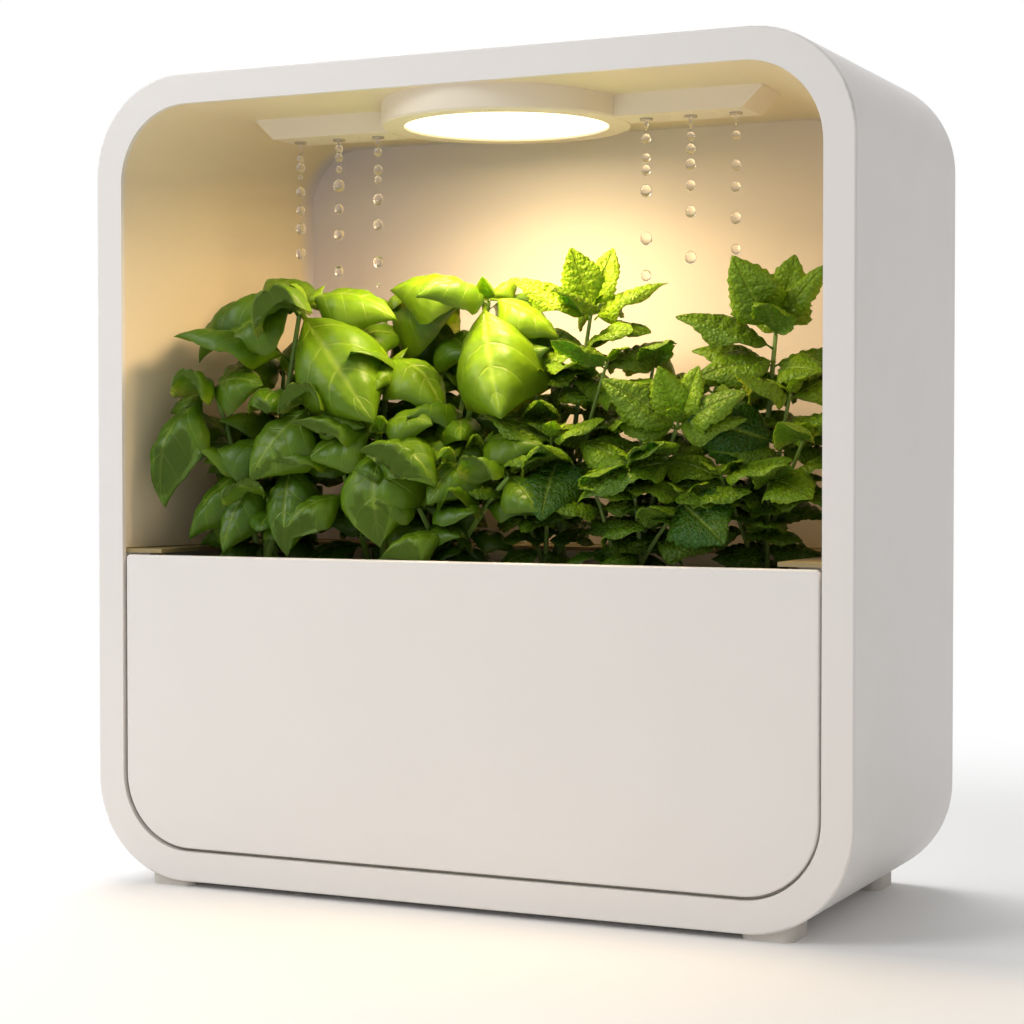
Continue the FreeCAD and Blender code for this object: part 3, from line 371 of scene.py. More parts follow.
# %% Leaf kinds
@dataclass
class LeafKind:
    """Outline points are (place along the leaf, share of the widest half width), and each form is
    (bend, cup, twist, wave). Thickness and swell are shares of the leaf's length and width."""

    name: str
    outline: list
    forms: list
    veins: int
    teeth: int
    rows: int
    columns: int
    thickness: float
    swell: float
    fullness: float
    overall: float

    def half_width(self, u):
        """Share of the widest half width at u, eased between the outline's points."""
        for (u0, w0), (u1, w1) in zip(self.outline, self.outline[1:]):
            if u <= u1:
                t = (u - u0) / (u1 - u0)
                smooth = 3 * t * t - 2 * t**3
                return w0 + (w1 - w0) * smooth * 0.4 + (w1 - w0) * t * 0.6
        return self.outline[-1][1]


basil_kind = LeafKind(
    "basil",
    [(0, 0.06), (0.12, 0.05), (0.17, 0.42), (0.27, 0.80), (0.42, 1.0), (0.60, 0.93), (0.77, 0.64),
     (0.90, 0.30), (0.97, 0.10), (1, 0.01)],
    [(0.5, 0.45, 0.2, 0.06), (1.0, 0.60, -0.3, 0.05), (1.5, 0.75, 0.25, 0.04),
     (1.1, 0.35, 0.5, 0.10), (1.9, 0.55, -0.2, 0.06), (0.7, 0.9, 0.1, 0.03)],
    veins=5, teeth=0, rows=20, columns=12, thickness=0.009, swell=0.045, fullness=1.10, overall=1.1,
)
mint_kind = LeafKind(
    "mint",
    [(0, 0.07), (0.07, 0.06), (0.12, 0.50), (0.24, 0.90), (0.38, 1.0), (0.56, 0.90), (0.74, 0.62),
     (0.88, 0.33), (0.96, 0.13), (1, 0.01)],
    [(0.3, 0.10, 0.2, 0.10), (0.7, 0.22, -0.3, 0.14), (1.1, 0.05, 0.3, 0.16),
     (0.5, 0.45, 0.0, 0.08)],
    veins=8, teeth=10, rows=30, columns=8, thickness=0.012, swell=0.06, fullness=1.08, overall=1.04,
)
VEIN_SLOPE = 0.28  # how far a side vein runs on towards the tip, between midrib and edge


# %% [markdown]
# A leaf's middle line bends downwards, and its chord from base to tip lies along X with length one,
# so that a later step can stretch and turn it between two points in the garden. Its sides fold
# down by the cup value, and the skin swells between the veins.


# %% Build one leaf shape
FULL_TURN = 6.28
STILL_PLACE = 0.4  # where along the leaf a twist turns nothing
CUP_NARROWING = 0.16
GROOVE_DEPTH, GROOVE_WIDTH = 0.030, 0.16
COLUMN_ARC = 1.45  # the columns lie closer together towards the edges
TOOTH_DEPTH, TOOTH_LEAN = 0.16, 0.012
RIM_WAVES = 1.7


def middle_line(bend, steps):
    points = [Vector((0, 0, 0))]
    tilts = [bend / 2]
    for i in range(steps):
        tilt = bend / 2 - bend * ((i + 0.5) / steps) ** 1.15
        points.append(points[-1] + Vector((math.cos(tilt), 0, math.sin(tilt))) / steps)
        tilts.append(bend / 2 - bend * ((i + 1) / steps) ** 1.15)
    chord = points[-1]
    turn = math.atan2(chord.z, chord.x)
    level = Matrix.Rotation(turn, 3, "Y")
    scale = 1 / chord.length
    return [level @ p * scale for p in points], [t - turn for t in tilts]


def leaf_shape(kind, name, bend, cup, twist, wave, seed):
    """A closed thin blade with its chord along X, one long and one wide before it is stretched."""
    draw = random.Random(seed)
    line, tilts = middle_line(bend, kind.rows)
    phase = draw.uniform(0, FULL_TURN)
    top, bottom = [], []
    for i, (centre, tilt) in enumerate(zip(line, tilts)):
        u = i / kind.rows
        normal = Vector((-math.sin(tilt), 0, math.cos(tilt)))
        forward = Vector((math.cos(tilt), 0, math.sin(tilt)))
        twisted = Matrix.Rotation(twist * (u - STILL_PLACE), 3, forward)
        side = twisted @ Vector((0, 1, 0))
        lift = twisted @ normal
        half = kind.half_width(u) / 2
        for j in range(kind.columns + 1):
            v = 2 * j / kind.columns - 1
            reach = abs(v)
            swell = abs(math.sin(math.pi * kind.veins * (u - VEIN_SLOPE * reach))) ** 0.7
            height = -cup * half * reach**1.7
            height += kind.swell * swell * half * 2 * (1 - reach**2) * min(1, 5 * reach)
            height -= GROOVE_DEPTH * math.exp(-((v / GROOVE_WIDTH) ** 2)) * half * 2
            swing = FULL_TURN * RIM_WAVES * u + phase + (2 if v > 0 else 0)
            height += wave * half * reach**2 * math.sin(swing)
            spaced = math.sin(v * COLUMN_ARC) / math.sin(COLUMN_ARC)
            width = half * spaced * (1 - CUP_NARROWING * cup * reach)
            shift = 0.0
            if kind.teeth and j in (0, kind.columns):
                saw = (u * kind.teeth) % 1.0
                width *= 1 + TOOTH_DEPTH * (saw - 0.35) * min(1, half * 6)
                shift = TOOTH_LEAN * saw
            point = centre + side * width + lift * height + forward * shift
            skin = kind.thickness * (1 - 0.75 * reach**3) * (1 - 0.5 * u)
            top.append((point, (u, j / kind.columns)))
            bottom.append((point - lift * skin, (u, j / kind.columns)))
    return closed_blade(name, kind, top, bottom)


# %% [markdown]
# The top skin and the underside share the same grid, so the rim between them is a strip of narrow
# faces all round. A small attribute marks the underside, which is paler.


# %% Close the blade and keep it as a hidden shape
def closed_blade(name, kind, top, bottom):
    across = kind.columns + 1
    verts = [p for p, _ in top] + [p for p, _ in bottom]
    uvs = [uv for _, uv in top] + [uv for _, uv in bottom]
    base = len(top)
    faces, under = [], []
    for i in range(kind.rows):
        for j in range(kind.columns):
            a = i * across + j
            b = a + across
            faces.append((a, b, b + 1, a + 1))
            faces.append((base + a, base + a + 1, base + b + 1, base + b))
            under += [0.0, 1.0]
    edge = [i * across for i in range(kind.rows + 1)]
    edge += [kind.rows * across + j for j in range(1, across)]
    edge += [i * across + kind.columns for i in range(kind.rows - 1, -1, -1)]
    edge += [j for j in range(kind.columns - 1, 0, -1)]
    for a, b in zip(edge, edge[1:] + edge[:1]):
        faces.append((a, base + a, base + b, b))
        under.append(0.5)
    mesh = bpy.data.meshes.new(name)
    mesh.from_pydata(verts, [], faces)
    layer = mesh.uv_layers.new(name="leaf")
    for loop in mesh.loops:
        layer.data[loop.index].uv = uvs[loop.vertex_index]
    mark = mesh.attributes.new("underside", "FLOAT", "FACE")
    mark.data.foreach_set("value", under)
    solid = bmesh.new()
    solid.from_mesh(mesh)
    bmesh.ops.recalc_face_normals(solid, faces=solid.faces)
    solid.to_mesh(mesh)
    solid.free()
    mesh.shade_smooth()
    return bpy.data.objects.new(name, mesh)


def leaf_collection(kind):
    """One hidden collection per kind, whose children are the leaf shapes in name order."""
    holder = bpy.data.collections.new(f"{kind.name}_shapes")
    for i, form in enumerate(kind.forms):
        holder.objects.link(leaf_shape(kind, f"{kind.name}_shape_{i}", *form, 11 + i))
    faces = len(holder.objects[0].data.polygons)
    print(f"{kind.name}: {len(kind.forms)} leaf shapes of {faces} faces")
    return holder


basil_shapes = leaf_collection(basil_kind)
mint_shapes = leaf_collection(mint_kind)


# %% [markdown]
# Leaf colour follows the veins, one along the middle and the rest slanting to the edges. They are
# worked out from the leaf's UV map, so they bend and stretch with each copy of a leaf.


# %% Helpers for the leaf materials
MIDRIB_THINNESS, SIDE_VEIN_THINNESS = 16, 5.5


def attribute(tree, name):
    return add(tree, "ShaderNodeAttribute", attribute_name=name).outputs["Fac"]


def vein_lines(tree, count):
    """One on the middle vein and the side veins of the leaf's UV map, and nought between them."""
    uv = add(tree, "ShaderNodeUVMap", uv_map="leaf").outputs["UV"]
    place = add(tree, "ShaderNodeSeparateXYZ", {"Vector": uv}).outputs
    both_sides = maths(tree, "SUBTRACT", maths(tree, "MULTIPLY", place["Y"], 2), 1)
    across = maths(tree, "ABSOLUTE", both_sides)
    away = maths(tree, "MULTIPLY", across, MIDRIB_THINNESS)
    middle = maths(tree, "SUBTRACT", 1, away, clamp=True)
    run = maths(tree, "SUBTRACT", place["X"], maths(tree, "MULTIPLY", across, VEIN_SLOPE))
    wave = maths(tree, "SINE", maths(tree, "MULTIPLY", run, math.pi * count))
    dip = maths(tree, "MULTIPLY", maths(tree, "ABSOLUTE", wave), SIDE_VEIN_THINNESS)
    sides = maths(tree, "SUBTRACT", 1, dip, clamp=True)
    fading = maths(tree, "MULTIPLY", sides, maths(tree, "SUBTRACT", 1, across, clamp=True))
    return maths(tree, "MAXIMUM", middle, fading)


# %% [markdown]
# A leaf is a green that brightens towards yellow where it is young, with pale veins and a paler
# underside. Light soaks through a thin leaf, so some of it scatters inside. A fine net of cells
# gives the bump: faint on basil, and a deep crinkle on mint.

# %% Leaf materials
VEIN_SHARE = UNDERSIDE_SHARE = 0.45


def leaf_material(kind, deep, fresh, pale, vein, net, net_depth, roughness):
    material, tree, shader = new_material(f"{kind.name}_leaf")
    lines = vein_lines(tree, kind.veins)
    cloud = maths(tree, "MULTIPLY", noise(tree, 55.0, 3.0), 0.5)
    age = maths(tree, "ADD", cloud, attribute(tree, "youth"), clamp=True)
    green = mixed(tree, age, deep, fresh)
    veined = mixed(tree, maths(tree, "MULTIPLY", lines, VEIN_SHARE), green, vein)
    under = maths(tree, "MULTIPLY", attribute(tree, "underside"), UNDERSIDE_SHARE)
    inputs = {"Scale": net, "Smoothness": 0.6, "Vector": object_place(tree)}
    cells = add(tree, "ShaderNodeTexVoronoi", inputs, feature="SMOOTH_F1").outputs["Distance"]
    height = maths(tree, "SUBTRACT", maths(tree, "MULTIPLY", cells, -1.0), lines)
    put(tree, shader, {
        "Base Color": mixed(tree, under, veined, pale), "Roughness": roughness,
        "Normal": bump(tree, height, net_depth, 0.9), "Specular IOR Level": 0.2,
        "Subsurface Weight": 0.2, "Subsurface Radius": (0.6, 1.0, 0.15),
        "Subsurface Scale": 1.2 * MM,
    })
    return material


basil_leaf = leaf_material(
    basil_kind,
    deep=(0.018, 0.066, 0.002), fresh=(0.165, 0.285, 0.007),
    pale=(0.13, 0.22, 0.03), vein=(0.28, 0.38, 0.05),
    net=260.0, net_depth=0.25 * MM, roughness=0.34,
)
mint_leaf = leaf_material(
    mint_kind,
    deep=(0.020, 0.074, 0.003), fresh=(0.24, 0.385, 0.009),
    pale=(0.13, 0.24, 0.03), vein=(0.38, 0.50, 0.07),
    net=620.0, net_depth=1.1 * MM, roughness=0.38,
)
ribs = {"grain": 0.1 * MM, "waves": 400.0}
basil_stem = moulded("basil_stem", (0.26, 0.44, 0.07), 0.45, spread=0.2, **ribs)
mint_stem = moulded("mint_stem", (0.17, 0.27, 0.05), 0.5, spread=0.3, **ribs)


# %% [markdown]
# Many leaves from a few shapes is work for Geometry Nodes. Each leaf is one point that carries its
# turn, its size, which shape to take and how young it is. The tree puts the chosen shape on every
# point, makes the copies real and gives them the leaf material.


# %% Node tree that sets leaves on points
def start_tree(name, *inputs):
    """A tree with one geometry in and out, and further inputs as (name, kind, value or None)."""
    tree = bpy.data.node_groups.new(name, "GeometryNodeTree")
    face = tree.interface
    for title, kind, value in (("Geometry", "Geometry", None), *inputs):
        socket = face.new_socket(title, in_out="INPUT", socket_type=f"NodeSocket{kind}")
        if value is not None:
            socket.default_value = value
    face.new_socket("Geometry", in_out="OUTPUT", socket_type="NodeSocketGeometry")
    return tree, add(tree, "NodeGroupInput"), add(tree, "NodeGroupOutput")


def end_tree(tree, geometry, material, leave):
    """Makes copies real, gives them their material and hands them on."""
    real = add(tree, "GeometryNodeRealizeInstances", {0: geometry})
    coat = add(tree, "GeometryNodeSetMaterial", {"Geometry": real.outputs[0], "Material": material})
    put(tree, leave, {"Geometry": coat.outputs[0]})
    return tree


def named_attribute(tree, name, kind):
    node = add(tree, "GeometryNodeInputNamedAttribute", {"Name": name}, data_type=kind)
    return node.outputs["Attribute"]


def leaf_tree():
    tree, entry, leave = start_tree(
        "leaves_on_points", ("Leaf Shapes", "Collection", None),
        ("Leaf Material", "Material", None), ("Overall Size", "Float", 1.0),
    )
    given = entry.outputs
    shapes = add(tree, "GeometryNodeCollectionInfo", {
        "Collection": given["Leaf Shapes"], "Separate Children": True, "Reset Children": True,
    })
    turn = add(
        tree, "FunctionNodeEulerToRotation", {0: named_attribute(tree, "turn", "FLOAT_VECTOR")}
    )
    size = add(tree, "ShaderNodeVectorMath", {
        0: named_attribute(tree, "size", "FLOAT_VECTOR"), "Scale": given["Overall Size"],
    }, operation="SCALE")
    copies = add(tree, "GeometryNodeInstanceOnPoints", {
        "Points": given["Geometry"], "Instance": shapes.outputs[0], "Pick Instance": True,
        "Instance Index": named_attribute(tree, "shape", "INT"),
        "Rotation": turn.outputs[0], "Scale": size.outputs[0],
    })
    return end_tree(tree, copies.outputs[0], given["Leaf Material"], leave)


# %% [markdown]
# Stems follow paths, so they are another tree: it turns poly lines into curves, takes each point's
# thickness from an attribute and sweeps a round section along them.


# %% Node tree that sweeps stems along lines
def stem_tree():
    tree, entry, leave = start_tree(
        "stems_on_lines", ("Stem Material", "Material", None), ("Sides", "Int", 8)
    )
    given = entry.outputs
    thickness = named_attribute(tree, "thickness", "FLOAT")
    curves = add(tree, "GeometryNodeMeshToCurve", {"Mesh": given["Geometry"]})
    radius = add(
        tree, "GeometryNodeSetCurveRadius", {"Curve": curves.outputs[0], "Radius": thickness}
    )
    section = add(
        tree, "GeometryNodeCurvePrimitiveCircle", {"Resolution": given["Sides"], "Radius": 1.0}
    )
    sweep = add(tree, "GeometryNodeCurveToMesh", {
        "Curve": radius.outputs[0], "Profile Curve": section.outputs[0],
        "Scale": thickness, "Fill Caps": True,
    })
    smooth = add(tree, "GeometryNodeSetShadeSmooth", {"Geometry": sweep.outputs[0]})
    return end_tree(tree, smooth.outputs[0], given["Stem Material"], leave)


# %% [markdown]
# A tree's inputs are set by their identifiers before the first look at the result. The result is
# then read back as a plain mesh, and the helper object and its modifier go away.


# %% Turn a node tree's result into a plain mesh
def grown(name, mesh, tree, values):
    seedling = bpy.data.objects.new(f"{name}_points", mesh)
    bpy.context.scene.collection.objects.link(seedling)
    modifier = seedling.modifiers.new("grow", "NODES")
    modifier.node_group = tree
    for item in tree.interface.items_tree:
        if item.item_type == "SOCKET" and item.in_out == "INPUT" and item.name in values:
            modifier[item.identifier] = values[item.name]
    depsgraph = bpy.context.evaluated_depsgraph_get()
    result = bpy.data.meshes.new_from_object(seedling.evaluated_get(depsgraph), depsgraph=depsgraph)
    bpy.data.objects.remove(seedling)
    piece = bpy.data.objects.new(name, result)
    bpy.context.scene.collection.objects.link(piece)
    print(f"{name}: {len(result.polygons)} faces")
    return piece


leaves_on_points = leaf_tree()
stems_on_lines = stem_tree()


# %% [markdown]
# A plant is written down as shoots. Each shoot bends up from its pot to its top, and carries
# opposite pairs of leaves, every pair turned a quarter from the one below, as both herbs grow them.
# Lower leaves are larger and droop; the top ones are small, young and point up. Places and sizes
# are in millimetres in the lists, and turned into metres here.


# %% The plant as lists of leaves and stems
class Plant:
    """One herb on its way up: leaves and stem lines collect here until they are built."""

    def __init__(self, name, node, kind, pot, seed):
        self.name = name
        self.node = node
        self.kind = kind
        self.pot = Vector(pot) * MM
        self.draw = random.Random(seed)
        self.leaves = []
        self.lines = []

    def leaf(self, base, tip, facing, width, shape, youth):
        """One leaf from base to tip, in metres, with its top side turned to facing."""
        chord = tip - base
        x = chord.normalized()
        z = (facing - x * facing.dot(x)).normalized()
        y = z.cross(x)
        turn = Matrix((x, y, z)).transposed().to_euler("XYZ")
        size = Vector((chord.length, width * self.kind.fullness, chord.length))
        self.leaves.append((base, turn, size, shape, youth))

    def line(self, points, thick, thin):
        self.lines.append((points, thick, thin))


STEM_STEPS = 10
KNEE_SHARE, KNEE_RISE = 0.45, 0.12
ROOT_SPREAD, ROOT_DEPTH = 7, 4
LAST_PAIR = 0.97  # how far up its stem a shoot's last pair of leaves sits


def shoot_path(start, top):
    """A stem that rises steeply from its pot and leans over to its top."""
    knee = start.lerp(top, KNEE_SHARE)
    knee.z = start.z + (top.z - start.z) * (KNEE_SHARE + KNEE_RISE)
    return [
        start * (1 - t) ** 2 + knee * 2 * t * (1 - t) + top * t**2
        for t in [i / STEM_STEPS for i in range(STEM_STEPS + 1)]
    ]


def along(points, share):
    place = share * (len(points) - 1)
    i = min(int(place), len(points) - 2)
    return points[i].lerp(points[i + 1], place - i)


def grow_shoot(plant, top, pairs, length, width, bare, turn, crown=4, stem=2.2):
    """A shoot whose lowest share, bare, has no leaves, and whose first pair points to turn."""
    draw = plant.draw
    aside = (draw.uniform(-ROOT_SPREAD, ROOT_SPREAD), draw.uniform(-ROOT_SPREAD, ROOT_SPREAD))
    root = plant.pot + Vector((*aside, -ROOT_DEPTH)) * MM
    path = shoot_path(root, Vector(top) * MM)
    plant.line(path, stem * MM, stem * 0.5 * MM)
    turn = math.radians(turn)
    for k in range(pairs):
        share = bare + (LAST_PAIR - bare) * k / (pairs - 1)
        age = 1 - k / pairs
        base = along(path, share)
        scale = 0.55 + 0.45 * math.sin(math.pi * (0.25 + 0.6 * age))
        droop = 0.55 * age - 0.35 + draw.uniform(-0.15, 0.15)
        for side in (0, math.pi):
            heading = turn + side + k * math.pi / 2 + draw.uniform(-0.3, 0.3)
            reach = length * scale * draw.uniform(0.85, 1.12) * MM
            flat = Vector((math.cos(heading), math.sin(heading), 0))
            tip = base + (flat * math.cos(droop) - UP * math.sin(droop)) * reach
            facing = UP + flat * 0.4 + Vector((draw.uniform(-0.3, 0.3), -0.35, 0))
            leaf_width = width * reach / length * draw.uniform(0.92, 1.08)
            shape = draw.randrange(len(plant.kind.forms))
            plant.leaf(base, tip, facing, leaf_width, shape, 0.25 - 0.35 * age)
    grow_crown(plant, path[-1], crown, length, width, turn)


def grow_crown(plant, top, count, length, width, turn):
    """The small young leaves at a shoot's tip."""
    draw = plant.draw
    for i in range(count):
        heading = turn + i * 2.4 + draw.uniform(-0.3, 0.3)
        rise = 0.75 - 0.12 * i + draw.uniform(-0.1, 0.1)
        flat = Vector((math.cos(heading), math.sin(heading), 0))
        reach = length * (0.30 + 0.05 * i) * MM
        tip = top + (flat * math.cos(rise) + UP * math.sin(rise)) * reach
        plant.leaf(top, tip, UP - flat * 0.5, width * (0.27 + 0.05 * i) * MM, i % 3, 0.55)


# %% [markdown]
# The large leaves that catch the eye are set one by one, from a base on a shoot to a tip, with the
# way that they face. The rest of each plant fills in by rule. A shoot's row holds its top, pairs of
# leaves, their length and width, its bare share and its turn, for mint also its crown leaves and
# its stem. A large leaf's row holds its base, tip, width, shape, facing and youth.


# %% Basil plants
PLUG_SINK = 3  # the plug's top lies this far below its cup's rim


def pot_place(number):
    low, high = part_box(f"net_cup_{number}")
    return ((low[0] + high[0]) / 2 / MM, (low[1] + high[1]) / 2 / MM, high[2] / MM - PLUG_SINK)


def herb(name, node, kind, cup, seed, shoots, large_leaves):
    plant = Plant(name, node, kind, pot_place(cup), seed)
    for shoot in shoots:
        grow_shoot(plant, *shoot)
    for base, tip, width, shape, facing, youth in large_leaves:
        base, tip = Vector(base) * MM, Vector(tip) * MM
        plant.leaf(base, tip, Vector(facing), width * MM, shape, youth)
    return plant


basil_left = herb(
    "basil_left", "basil_1", basil_kind, 1, 3,
    [
        ((-103, -45, 292), 4, 52, 33, 0.42, 20),
        ((-149, -52, 248), 3, 44, 28, 0.45, 80),
        ((-88, -58, 243), 3, 42, 28, 0.4, 100),
        ((-122, -48, 212), 3, 40, 25, 0.3, 40),
        ((-134, -10, 262), 4, 46, 30, 0.3, 60),
        ((-112, -62, 196), 3, 40, 26, 0.3, 75),
        ((-150, -22, 220), 3, 40, 26, 0.3, 25),
    ],
    [
        ((-103, -45, 290), (-50, -70, 238), 46, 1, (-0.1, -0.8, 0.7), 0.25),
        ((-103, -46, 294), (-136, -64, 272), 33, 1, (-0.3, -0.6, 0.8), 0.1),
        ((-106, -42, 296), (-158, -46, 268), 30, 4, (-0.5, -0.3, 0.9), 0.0),
        ((-102, -42, 295), (-56, -38, 286), 30, 2, (0.1, -0.4, 1.0), 0.35),
        ((-104, -34, 298), (-138, -16, 309), 26, 0, (-0.1, -0.3, 1.0), 0.3),
        ((-149, -55, 248), (-163, -74, 196), 32, 4, (-0.5, -0.9, 0.35), 0.0),
        ((-150, -54, 250), (-171, -58, 240), 20, 1, (-0.4, -0.6, 0.8), 0.1),
        ((-148, -56, 250), (-116, -64, 252), 27, 2, (0.1, -0.7, 0.8), 0.1),
        ((-86, -60, 243), (-110, -77, 208), 36, 1, (-0.15, -0.9, 0.5), 0.15),
        ((-84, -58, 244), (-56, -66, 232), 28, 1, (0.2, -0.7, 0.7), 0.1),
        ((-122, -50, 212), (-150, -70, 178), 24, 2, (-0.4, -0.8, 0.4), 0.0),
        ((-120, -56, 208), (-128, -76, 172), 22, 1, (-0.2, -0.9, 0.3), 0.0),
        ((-100, -56, 218), (-92, -78, 172), 26, 1, (0.1, -1.0, 0.2), 0.0),
    ],
)

basil_middle = herb(
    "basil_middle", "basil_2", basil_kind, 2, 5,
    [
        ((-76, -5, 292), 4, 50, 31, 0.35, 70),
        ((-62, -30, 262), 4, 46, 29, 0.35, 10),
        ((-50, -58, 227), 3, 40, 26, 0.45, 30),
        ((-46, 12, 258), 4, 46, 29, 0.3, 45),
        ((-98, 12, 250), 4, 46, 29, 0.3, 110),
        ((-74, -56, 214), 3, 40, 26, 0.3, 50),
    ],
    [
        ((-76, -5, 294), (-40, 8, 262), 42, 2, (0.3, -0.5, 0.8), 0.0),
        ((-62, -32, 263), (-22, -50, 236), 30, 4, (0.3, -0.3, 0.9), 0.3),
        ((-62, -34, 262), (-50, -62, 250), 24, 2, (0.0, -0.6, 0.9), 0.25),
        ((-50, -60, 228), (-40, -78, 178), 42, 1, (0.05, -1.0, 0.35), 0.2),
        ((-51, -58, 230), (-80, -72, 216), 30, 1, (-0.3, -0.7, 0.7), 0.1),
        ((-49, -57, 231), (-20, -64, 232), 24, 2, (0.2, -0.6, 0.8), 0.25),
        ((-48, -58, 224), (-14, -72, 204), 26, 4, (0.4, -0.7, 0.6), 0.15),
        ((-66, -58, 196), (-92, -76, 176), 22, 4, (-0.1, -0.6, 0.8), 0.1),
    ],
)

basil_right = herb(
    "basil_right", "basil_3", basil_kind, 3, 8,
    [
        ((-5, -28, 293), 4, 48, 30, 0.35, 150),
        ((-2, -48, 220), 3, 38, 24, 0.35, 20),
        ((20, -56, 208), 3, 34, 22, 0.35, 75),
        ((-28, -10, 250), 4, 44, 28, 0.3, 110),
        ((-30, -56, 192), 3, 30, 20, 0.4, 60),
        ((-14, -60, 214), 3, 38, 25, 0.3, 45),
    ],
    [
        ((-5, -34, 293), (20, -68, 240), 46, 5, (0.05, -0.85, 0.65), 0.45),
        ((-5, -28, 296), (-60, -20, 301), 27, 1, (-0.1, -0.35, 1.0), 0.5),
        ((-4, -28, 295), (31, -30, 276), 24, 1, (0.2, -0.4, 1.0), 0.5),
        ((-2, -46, 222), (36, -58, 222), 30, 1, (0.1, -0.5, 0.9), 0.2),
        ((-2, -48, 220), (-14, -72, 196), 26, 1, (-0.1, -0.8, 0.6), 0.1),
        ((20, -58, 208), (42, -74, 192), 22, 1, (0.2, -0.7, 0.7), 0.15),
        ((-8, -64, 178), (-36, -78, 168), 20, 2, (-0.1, -0.5, 0.9), 0.2),
    ],
)

# %% [markdown]
# Mint grows straighter shoots, with smaller, toothed leaves held out or up in crosses.

# %% Mint plants
mint_left = herb(
    "mint_left", "mint_1", mint_kind, 4, 13,
    [
        ((45, -15, 290), 6, 40, 23, 0.35, 0, 2, 1.7),
        ((22, -34, 252), 5, 36, 22, 0.35, 30, 4, 1.5),
        ((62, -36, 262), 5, 36, 22, 0.35, 70, 4, 1.5),
        ((40, -52, 226), 5, 34, 21, 0.3, 15, 4, 1.4),
        ((30, 14, 240), 5, 36, 22, 0.3, 50, 4, 1.4),
        ((14, -52, 214), 4, 34, 21, 0.3, 55, 4, 1.4),
    ],
    [
        ((45, -15, 290), (37, -22, 318), 20, 0, (0.3, -1.0, 0.1), 0.6),
        ((45, -15, 290), (54, -10, 318), 20, 0, (-0.3, -1.0, 0.1), 0.7),
        ((44, -16, 284), (6, -24, 304), 17, 1, (-0.2, -0.5, 1.0), 0.55),
        ((46, -15, 284), (84, -16, 300), 17, 1, (0.2, -0.6, 1.0), 0.5),
        ((44, -18, 268), (14, -34, 262), 24, 1, (-0.1, -0.4, 1.0), 0.3),
        ((46, -18, 268), (74, -34, 276), 22, 2, (0.1, -0.6, 0.9), 0.4),
        ((42, -48, 216), (46, -76, 188), 30, 1, (0.1, -0.9, 0.5), -0.2),
    ],
)

mint_middle = herb(
    "mint_middle", "mint_2", mint_kind, 5, 21,
    [
        ((104, -50, 232), 5, 38, 22, 0.3, 0, 3, 1.7),
        ((84, -58, 214), 4, 34, 21, 0.3, 60, 4, 1.5),
        ((78, -16, 262), 6, 36, 22, 0.3, 20, 4, 1.6),
        ((108, -10, 250), 6, 36, 22, 0.3, 80, 4, 1.6),
        ((62, -54, 204), 4, 32, 20, 0.3, 35, 4, 1.4),
        ((112, -60, 198), 4, 32, 20, 0.3, 75, 4, 1.4),
    ],
    [
        ((104, -50, 233), (97, -56, 258), 17, 0, (0.3, -1.0, 0.2), 0.5),
        ((104, -50, 233), (114, -50, 258), 17, 0, (-0.3, -1.0, 0.2), 0.55),
        ((104, -50, 230), (70, -58, 252), 22, 1, (-0.2, -0.8, 0.8), 0.2),
        ((104, -50, 230), (138, -54, 246), 22, 1, (0.2, -0.9, 0.8), 0.2),
        ((103, -52, 214), (64, -72, 196), 30, 2, (-0.2, -0.7, 0.8), 0.0),
        ((106, -54, 196), (136, -76, 178), 32, 1, (0.1, -1.0, 0.5), -0.2),
    ],
)

mint_right = herb(
    "mint_right", "mint_3", mint_kind, 6, 34,
    [
        ((140, -15, 277), 6, 40, 23, 0.35, 10, 2, 2.0),
        ((152, -30, 246), 5, 36, 22, 0.4, 60, 4, 1.7),
        ((120, 8, 240), 6, 36, 22, 0.3, 40, 4, 1.6),
        ((148, -48, 206), 4, 34, 21, 0.35, 20, 4, 1.5),
        ((126, -52, 208), 4, 34, 21, 0.3, 70, 4, 1.4),
        ((164, -44, 226), 4, 32, 20, 0.3, 5, 4, 1.4),
    ],
    [
        ((139, -16, 278), (124, -30, 310), 27, 1, (-0.2, -1.0, 0.3), 0.2),
        ((141, -15, 278), (148, -12, 311), 22, 0, (0.1, -1.0, 0.2), 0.3),
        ((142, -15, 280), (165, -18, 306), 15, 1, (0.3, -0.9, 0.6), 0.2),
        ((139, -16, 268), (95, -26, 283), 20, 1, (-0.1, -0.5, 1.0), 0.1),
        ((140, -16, 262), (108, -34, 254), 24, 1, (-0.2, -0.8, 0.7), 0.1),
        ((141, -15, 258), (166, -28, 256), 24, 1, (0.2, -0.8, 0.8), 0.2),
        ((146, -34, 224), (112, -54, 234), 34, 3, (-0.1, -1.0, 0.4), -0.25),
        ((148, -46, 206), (172, -60, 198), 26, 1, (0.2, -0.7, 0.8), 0.3),
    ],
)

# %% [markdown]
# Leaves give way where they meet a wall: points past the liner's walls or the plane of the drawer
# front are drawn back to it, as real leaves lean on what they touch. The liner narrows towards its
# back, so the side limit follows its taper.

# %% Build the plants
liner_low, liner_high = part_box("growing_liner")
_, front_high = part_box("drawer_front")
liner_skin = 2 * MM
wall_clearance = 2.5 * MM
front_clearance = 1.0 * MM
side_front = liner_high[0] - liner_skin
side_back = 160 * MM
liner_front_y = liner_low[1]
liner_back_y = liner_high[1] - liner_skin
front_limit = front_high[1] + front_clearance


def side_limit(y):
    share = (y - liner_front_y) / (liner_back_y - liner_front_y)
    return side_front + (side_back - side_front) * share - wall_clearance


def keep_inside(mesh):
    moved = 0
    for vert in mesh.vertices:
        x, y, z = vert.co
        limit = side_limit(y)
        new_y = min(max(y, front_limit), liner_back_y - wall_clearance)
        new_x = min(max(x, -limit), limit)
        if (new_x, new_y) != (x, y):
            vert.co = (new_x, new_y, z)
            moved += 1
    return moved


